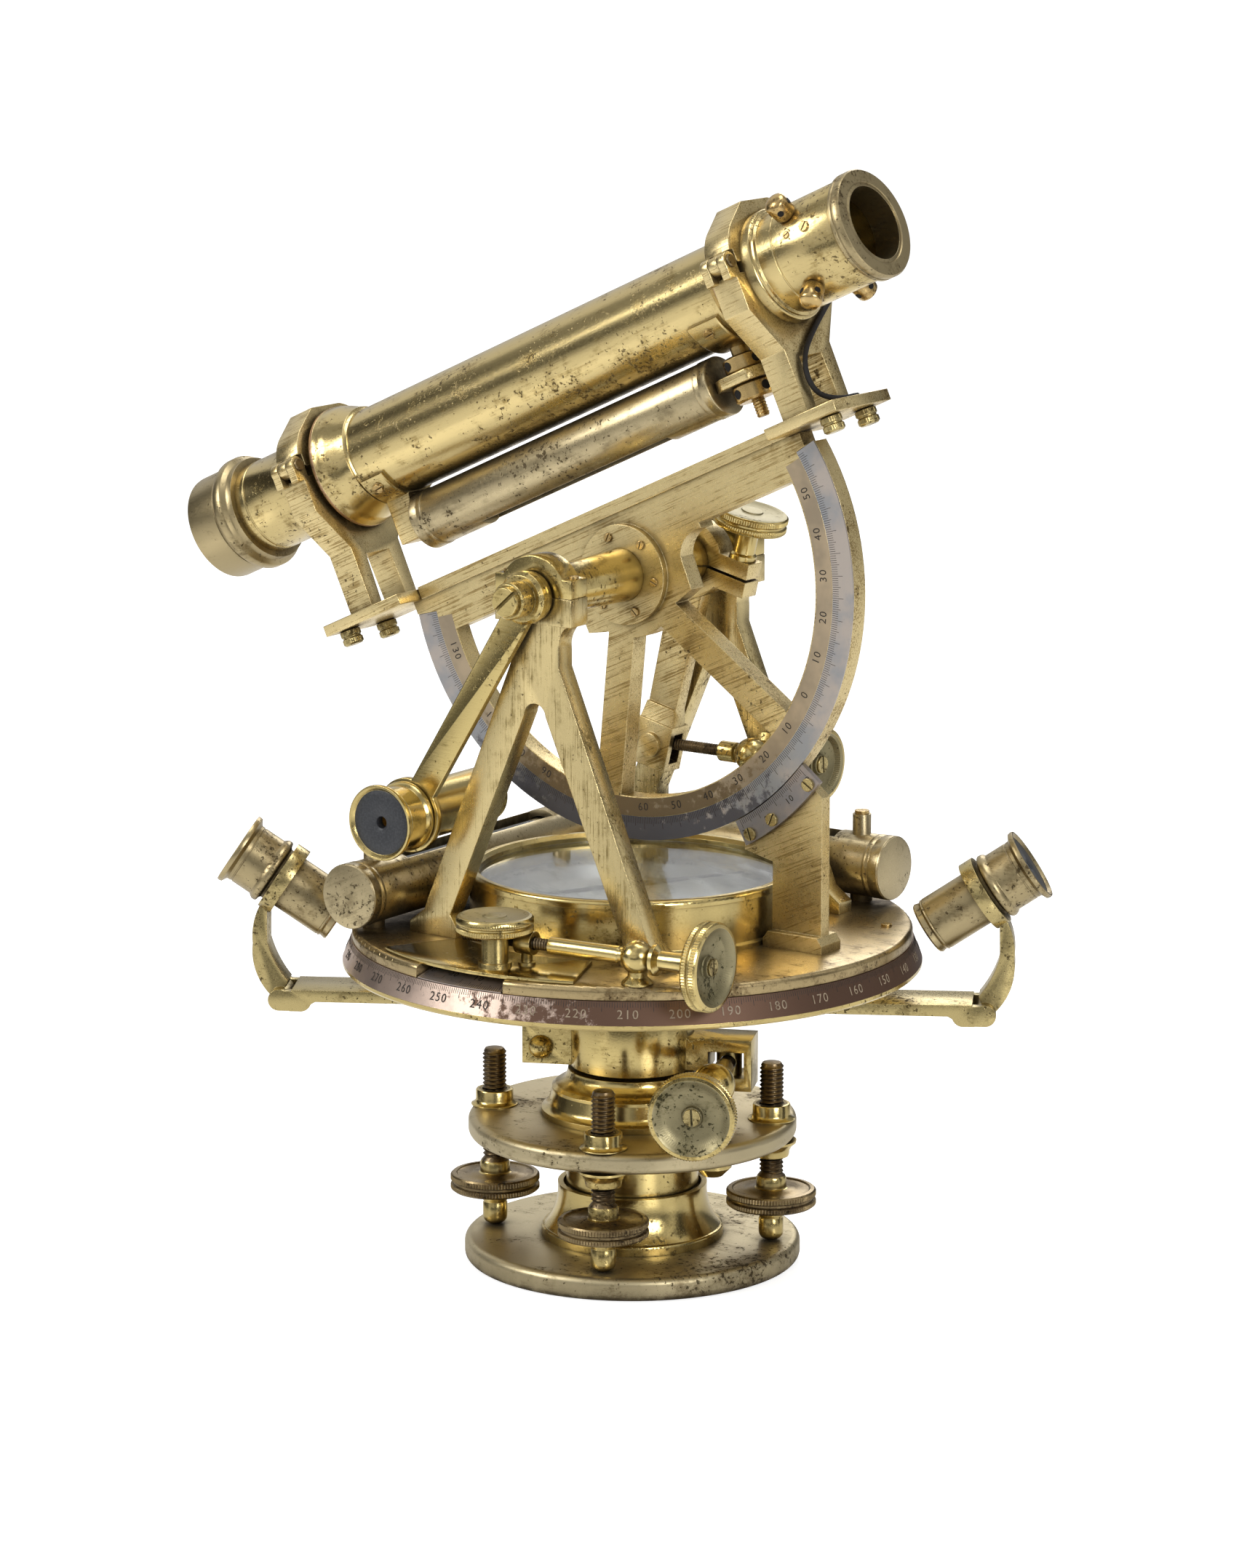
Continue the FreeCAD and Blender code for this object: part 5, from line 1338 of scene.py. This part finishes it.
@dataclass
class Telescope:
    """Main tube with its end cells, lenses, clips and slung level."""

    bore: float = 11.0

    def build(self) -> None:
        """Make the tube and everything that rides on it."""
        for side in ("left", "right"):
            refine(f"clip_{side}", Finish.FILED, f"clip_{side}", 0.3)
        dress("lenses", Finish.GLASS)
        self.tube()
        self.cells()
        self.capstans()
        self.slung_level()

    def tube(self) -> None:
        """The drawn tube with its collars, flanges and turned lines."""
        profile = [
            (11.6, -109.0), (12.7, -109.0), (12.7, -106.2), (12.5, -106.0), (12.5, -105.6),
            (12.7, -105.4), (12.7, -88.0), (13.2, -87.3), (14.9, -87.0), (15.1, -86.8),
            (15.1, -76.8), (15.4, -76.5), (16.8, -76.4), (17.0, -76.1), (17.0, -75.3),
            (16.6, -74.6), (16.7, -73.6), (15.9, -71.2), (14.9, -69.0), (14.2, -67.0),
            (14.0, -66.4), (13.4, -66.2), (13.0, -65.8), (13.0, 62.6), (13.5, 62.9), (13.9, 63.3),
            (14.3, 64.2), (15.4, 65.2), (16.6, 65.8), (17.0, 66.3), (17.0, 67.2), (16.7, 67.45),
            (15.4, 67.5), (15.1, 67.7), (15.1, 78.4), (14.8, 78.8), (14.3, 79.0), (14.2, 79.6),
            (13.6, 80.0), (13.6, 84.6), (13.45, 84.75), (13.45, 85.05), (13.6, 85.2),
            (13.6, 103.6), (13.3, 104.0), (self.bore, 104.0), (self.bore, -109.0),
        ]
        pieces = [Turned(profile, 160, closed=True).mesh(Finish.TUBE)]
        for face, low, high in ((17.02, -76.12, -75.28), (17.02, 66.32, 67.18)):
            ring = [(face - 1.2, low), (face, low), (face, high), (face - 1.2, high)]
            pieces.append(Turned(ring, 160, closed=True).mesh(Finish.COPPER))
        spots = [(Vector((*polar(13.55, 250), 96.0)), Vector((*polar(1.0, 250), 0)), 1.35),
                 (Vector((*polar(13.55, 250), 90.0)), Vector((*polar(1.0, 250), 0)), 0.9)]
        pieces.append(screw_set(spots, Finish.GILT, 6))
        for low, high in ((-66.0, -58.0), (51.0, 61.0)):
            pieces.append(self.saddle(low, high))
        publish("telescope_body", joined(pieces), SIGHT, Finish.TUBE, "telescope",
                ("telescope_tube",))

    def saddle(self, low: float, high: float) -> bpy.types.Mesh:
        """Curved saddle plate hugging the underside of the tube, with two screws."""
        work = bmesh.new()
        section = [(13.02, low), (14.0, low), (14.25, low + 0.4), (14.25, high - 0.4),
                   (14.0, high), (13.02, high)]
        rows = []
        for step in range(25):
            angle = -62.0 + 124.0 * step / 24
            rows.append([work.verts.new((*polar(r, angle), z)) for r, z in section])
        for before, after in zip(rows, rows[1:]):
            for i in range(len(section)):
                j = (i + 1) % len(section)
                work.faces.new((before[i], before[j], after[j], after[i]))
        work.faces.new(rows[0][::-1])
        work.faces.new(rows[-1])
        bmesh.ops.recalc_face_normals(work, faces=work.faces)
        mesh = bpy.data.meshes.new("saddle")
        work.to_mesh(mesh)
        work.free()
        smooth(mesh, 30.0)
        middle = (low + high) / 2
        spots = [(Vector((*polar(14.2, a), middle)), Vector((*polar(1.0, a), 0.0)), 1.5)
                 for a in (-48.0, 48.0)]
        return joined([painted(mesh, Finish.TUBE), screw_set(spots, Finish.GILT, 12)])

    def cells(self) -> None:
        """Rings of the objective cell and of the eye end."""
        objective = [
            (11.2, -126.0), (13.9, -126.0), (14.5, -125.6), (14.6, -125.0), (14.6, -116.2),
            (14.4, -116.0), (14.4, -115.7), (14.9, -115.0), (15.8, -114.5), (16.0, -114.1),
            (16.0, -112.1), (15.7, -111.6), (14.6, -111.0), (14.4, -110.6), (14.4, -109.0),
            (11.0, -109.0), (11.0, -111.9), (11.2, -112.2),
        ]
        eye = [
            (9.8, 107.8), (9.8, 100.0), (11.0, 100.0), (11.0, 104.0), (14.0, 104.0), (14.5, 104.5),
            (14.5, 105.2), (14.2, 105.4), (14.2, 105.7), (14.5, 105.9), (14.5, 107.2),
            (14.1, 107.75), (11.0, 107.8), (10.8, 107.5),
        ]
        front = Turned(objective, 160, closed=True)
        back = Turned(eye, 160, closed=True)
        publish("end_cell_rings", joined([front.mesh(Finish.DULL), back.mesh(Finish.DULL)]), SIGHT,
                Finish.DULL, "telescope", ("end_cells",))

    def capstans(self) -> None:
        """Drilled heads round the eye end and on the stud of the slung level, with painted shade discs in
        place of their tommy bar holes.
        """
        pieces = []
        small = [(0, 0.02), (2.4, 0.02), (2.7, 0.5), (3.0, 0.9), (3.0, 5.0), (2.8, 5.5), (2.3, 5.9),
                 (1.6, 6.25), (0, 6.4)]
        for turn in (45, 135, 225, 315):
            place = turned(turn) @ shift(13.6, 0, 90.3) @ turned(90, "Y")
            pieces.append(placed(Turned(small, 48).mesh(Finish.GILT), place))
            pieces.append(placed(self.bores(3.0, 3.2, 0.85), place))
        stud = shift(0, 0, 56.2) @ turned(90, "Y")
        nut = [(0, 13.05), (2.5, 13.05), (2.5, 16.2), (4.8, 16.4), (5.6, 16.9), (5.6, 20.2),
               (5.2, 20.7), (1.8, 20.75), (1.8, 23.85), (5.2, 23.9), (5.6, 24.4), (5.6, 27.9),
               (4.9, 28.5), (2.2, 28.6), (1.8, 28.8), (1.8, 32.8), (1.4, 33.2), (0, 33.2)]
        pieces.append(placed(Turned(nut, 72, threaded=[(28.8, 32.8, 0.25), (20.75, 23.85, 0.2)],
                                    pitch=0.8).mesh(Finish.GILT), stud))
        for height in (18.5, 26.1):
            pieces.append(placed(self.bores(5.6, height, 1.25), stud))
        publish("capstan_heads", joined(pieces), SIGHT, Finish.GILT, "telescope",
                ("capstans",))

    def bores(self, radius: float, height: float, size: float) -> bpy.types.Mesh:
        """Painted shade of four tommy bar holes round a head: thin near-black discs on its surface, with no
        holes cut.
        """
        shade_plugs = []
        for turn in (20, 110, 200, 290):
            shade_plug = Turned([(0, 0), (size, 0), (size, 0.06), (size * 0.6, 0.05), (0, 0.05)], 24)
            place = turned(turn) @ shift(radius - 0.02, 0, height) @ turned(90, "Y")
            shade_plugs.append(placed(shade_plug.mesh(Finish.HOLE), place))
        return joined(shade_plugs)

    def slung_level(self) -> None:
        """Level hung under the tube."""
        refine("slung_level", Finish.LEVEL, "telescope", 0.3)
        refine("slung_brackets", Finish.FILED, "telescope", 0.25)
        dress("slung_vial", Finish.VIAL)
        rings = []
        for side in (-1, 1):
            near = -58.0 if side < 0 else 48.0
            profile = [(7.75, near - 0.02 * side), (8.0, near - 0.3 * side),
                       (8.0, near - 2.2 * side), (7.85, near - 2.5 * side),
                       (7.85, near - 3.0 * side), (8.0, near - 3.3 * side),
                       (8.0, near - 4.3 * side), (7.75, near - 4.6 * side)]
            rings.append(Turned(profile, 96, closed=True).mesh(Finish.LEVEL))
        place = TIPPED @ shift(z=34.9) @ turned(90, "Y")
        publish("slung_mouldings", joined(rings), place, Finish.LEVEL, "telescope")


@dataclass
class Magnifier:
    """Magnifier of the arc on its swinging arm."""

    def build(self) -> None:
        """Make the arm and the tube."""
        refine("magnifier_arm", Finish.LACQUER, "magnifier_arm", 0.3)
        Microscope("arc_magnifier", "magnifier", "magnifier", shift(-39.0, -59.0, 124.0)
                   @ turned(-90, "X"), 46.8, Finish.LACQUER, "lacquered_brass").build()


@dataclass
class AltitudeMotion:
    """Clamp arm, its knob and the slow motion of the telescope."""

    def build(self) -> None:
        """Make the clamp and its screws."""
        refine("altitude_clamp", Finish.FILED, "altitude_clamp", 0.25)
        clamp = shift(y=32.2, z=AXIS_HEIGHT) @ turned(13.5, "Y") @ shift(14.4, -3.2)
        profile = [
            (0, -5.4), (1.7, -5.4), (1.7, 4.75), (3.6, 4.75), (3.6, 6.0), (3.0, 6.6), (3.0, 11.6),
            (3.5, 12.4), (3.8, 13.6), (9.4, 13.6), (9.9, 14.1), (9.9, 15.2), (9.3, 15.6),
            (9.3, 16.1), (9.9, 16.5), (9.9, 17.7), (9.4, 18.15), (8.6, 18.35), (7.9, 18.1),
            (3.0, 18.0), (2.8, 18.3), (0, 18.4),
        ]
        knob = Turned(profile, 180, milled=[(14.1, 15.2, 0.25), (16.5, 17.7, 0.25)])
        publish("altitude_knob_disc", knob.toned(Finish.LACQUER, (17.75, 9.5, Finish.DISH)),
                clamp, Finish.LACQUER, "altitude_knob", ("altitude_clamp_knob",))
        SlowMotion("altitude_slow_motion", "altitude_tangent", "altitude_tangent_screw",
                   facing((-12.42, 30.0, 134.07), (1.0, 0.0, 0.0)),
                   (1.6, -8.0, 20.0), (25.8, 2.75), 30.1, 9.9, 48.8).build()


@dataclass
class ClipCord:
    """Black silk cord that ties the right clip pin to its support."""

    corners: tuple[tuple[float, float, float], ...] = (
        (76.8, 19.0, 47.6), (77.2, 2.0, 38.5), (77.3, -6.5, 31.0), (77.3, -6.5, 23.0),
        (78.2, 1.0, 19.7), (79.0, 13.6, 19.8), (65.2, 13.6, 21.0), (65.2, -3.0, 22.0),
    )
    radius: float = 0.7
    length: float = 83.3

    def build(self) -> None:
        """Make the cord along its route."""
        curve = bpy.data.curves.new("silk_cord", "CURVE")
        curve.dimensions = "3D"
        spline = curve.splines.new("NURBS")
        spline.points.add(len(self.corners) - 1)
        for point, corner in zip(spline.points, self.corners):
            point.co = (*(TIPPED @ Vector(corner) * MM), 1.0)
        spline.order_u = 3
        spline.use_endpoint_u = True
        spline.resolution_u = 12
        curve.bevel_depth = self.radius * MM
        curve.bevel_resolution = 4
        curve.use_fill_caps = True
        curve.materials.append(Finish.SILK.material)
        made = linked("silk_cord", curve)
        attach(made, "cradle")
        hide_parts("clip_cord")
        LOG.info("silk_cord: %.1f mm", self.length)


# --------------------------------------------------------------------------------- stage

@dataclass
class Viewpoint:
    """The main camera."""

    azimuth: float = 35.38
    elevation: float = 11.84
    distance: float = 1.4597
    height: float = 0.12908
    aside: float = -0.00132
    lens: float = 126.8

    def build(self) -> None:
        """Place the camera and make it the scene's own."""
        a, e = math.radians(self.azimuth), math.radians(self.elevation)
        back = Vector((math.sin(a) * math.cos(e), -math.cos(a) * math.cos(e), math.sin(e)))
        right = Vector((math.cos(a), math.sin(a), 0.0))
        target = Vector((0, 0, self.height)) + right * self.aside
        data = bpy.data.cameras.new("main_camera")
        data.lens = self.lens
        data.sensor_fit = "VERTICAL"
        data.sensor_height = 36.0
        data.clip_start = 0.05
        data.clip_end = 20.0
        camera = linked("main_camera", data)
        camera.matrix_world = basis(target + back * self.distance, right, back.cross(right))
        bpy.context.scene.camera = camera


@dataclass
class Studio:
    """White sweep, soft boxes and dark flags."""

    floor: float = 60.0
    middle: float = 0.14

    def build(self) -> None:
        """Make the floor, the lights and the surroundings."""
        self.ground()
        self.world()
        self.softbox("key", (-1.0, -1.25, 1.15), 0.8, 13.0)
        self.softbox("fill", (1.5, -0.7, 0.75), 0.6, 10.0)
        self.softbox("top", (0.1, 0.25, 1.6), 0.8, 7.0)
        self.softbox("back", (-0.6, 1.5, 0.9), 0.7, 4.5)
        self.flag("left_flag", (-0.95, -0.15, 0.30), (0.45, 0.75))
        self.flag("front_flag", (0.25, -1.05, 0.05), (0.9, 0.28))
        self.flag("right_flag", (0.85, 0.35, 0.35), (0.35, 0.7))
        bpy.context.scene.view_settings.view_transform = "Standard"

    def ground(self) -> None:
        """Pale glossy floor."""
        mesh = bpy.data.meshes.new("floor")
        h = self.floor / 2
        mesh.from_pydata([(-h, -h, 0), (h, -h, 0), (h, h, 0), (-h, h, 0)], [], [(0, 1, 2, 3)])
        material, graph, shader = fresh_material("white_sweep")
        shader.inputs["Base Color"].default_value = (0.72, 0.72, 0.72, 1.0)
        shader.inputs["Roughness"].default_value = 0.14
        shader.inputs["Emission Color"].default_value = (1.0, 1.0, 1.0, 1.0)
        seen = graph.add("ShaderNodeLightPath").outputs["Is Camera Ray"]
        glow = graph.ramp(seen, 0.0, 1.0, 0.15, 0.75)
        material.node_tree.links.new(glow, shader.inputs["Emission Strength"])
        mesh.materials.append(material)
        floor = linked("floor", mesh)

    def world(self) -> None:
        """White to the camera, a banded grey room to the metal."""
        world = bpy.data.worlds.new("room")
        bpy.context.scene.world = world
        world.use_nodes = True
        world.node_tree.nodes.clear()
        graph = Graph(world.node_tree)
        place = graph.add("ShaderNodeTexCoord").outputs["Generated"]
        parts = graph.add("ShaderNodeSeparateXYZ", {0: place})
        turn = graph.math("ARCTAN2", parts.outputs[1], parts.outputs[0])
        band = graph.math("ADD", 0.5, graph.math("MULTIPLY", 0.5, graph.math(
            "SINE", graph.math("MULTIPLY", turn, 3.0))))
        rise = graph.ramp(parts.outputs[2], -0.2, 0.7)
        shade = graph.math("ADD", 0.02, graph.math("MULTIPLY", graph.ramp(band, 0.35, 0.7), 0.42))
        light = graph.math("ADD", shade, graph.math("MULTIPLY", rise, 0.28))
        room = graph.add("ShaderNodeBackground", {"Color": light, "Strength": 1.0})
        white = graph.add("ShaderNodeBackground", {"Color": (1.0, 1.0, 1.0, 1.0), "Strength": 1.1})
        ray = graph.add("ShaderNodeLightPath").outputs["Is Camera Ray"]
        both = graph.add("ShaderNodeMixShader", {0: ray, 1: room.outputs[0], 2: white.outputs[0]})
        graph.add("ShaderNodeOutputWorld", {"Surface": both.outputs[0]})

    def aimed(self, spot: tuple[float, float, float], axis: str) -> Euler:
        """Rotation that points an axis from a spot at the middle of the instrument."""
        return (Vector((0, 0, self.middle)) - Vector(spot)).to_track_quat(axis, "Y").to_euler()

    def softbox(self, name: str, spot: tuple[float, float, float], size: float, power: float) -> None:
        """Square soft light aimed at the instrument."""
        data = bpy.data.lights.new(name, "AREA")
        data.size = size
        data.energy = power
        light = linked(name, data)
        light.location = spot
        light.rotation_euler = self.aimed(spot, "-Z")

    def flag(self, name: str, spot: tuple[float, float, float], size: tuple[float, float]) -> None:
        """Dark card outside the view that gives the metal its contrast."""
        mesh = bpy.data.meshes.new(name)
        x, y = size[0] / 2, size[1] / 2
        mesh.from_pydata([(-x, -y, 0), (x, -y, 0), (x, y, 0), (-x, y, 0)], [], [(0, 1, 2, 3)])
        material, _, shader = fresh_material(f"{name}_card")
        shader.inputs["Base Color"].default_value = (0.02, 0.018, 0.016, 1.0)
        shader.inputs["Roughness"].default_value = 0.9
        mesh.materials.append(material)
        card = linked(name, mesh)
        card.location = spot
        card.rotation_euler = self.aimed(spot, "Z")
        card.visible_camera = False
        card.visible_shadow = False
        card.visible_diffuse = False


def main() -> None:
    """Build every sub-assembly in order, then the stage."""
    logging.basicConfig(level=logging.INFO, format="%(name)s %(message)s")
    Viewpoint().build()
    ClipCord().build()
    for assembly in (LevellingBase(), LowerMotion(), Limb(), Alidade(), Compass(), Readers(),
                     Standards(), Cradle(), Telescope(), Magnifier(), AltitudeMotion(), Studio()):
        LOG.info("building %s", type(assembly).__name__)
        assembly.build()
    bpy.data.objects.remove(slotted_head())


if __name__ == "__main__":
    main()
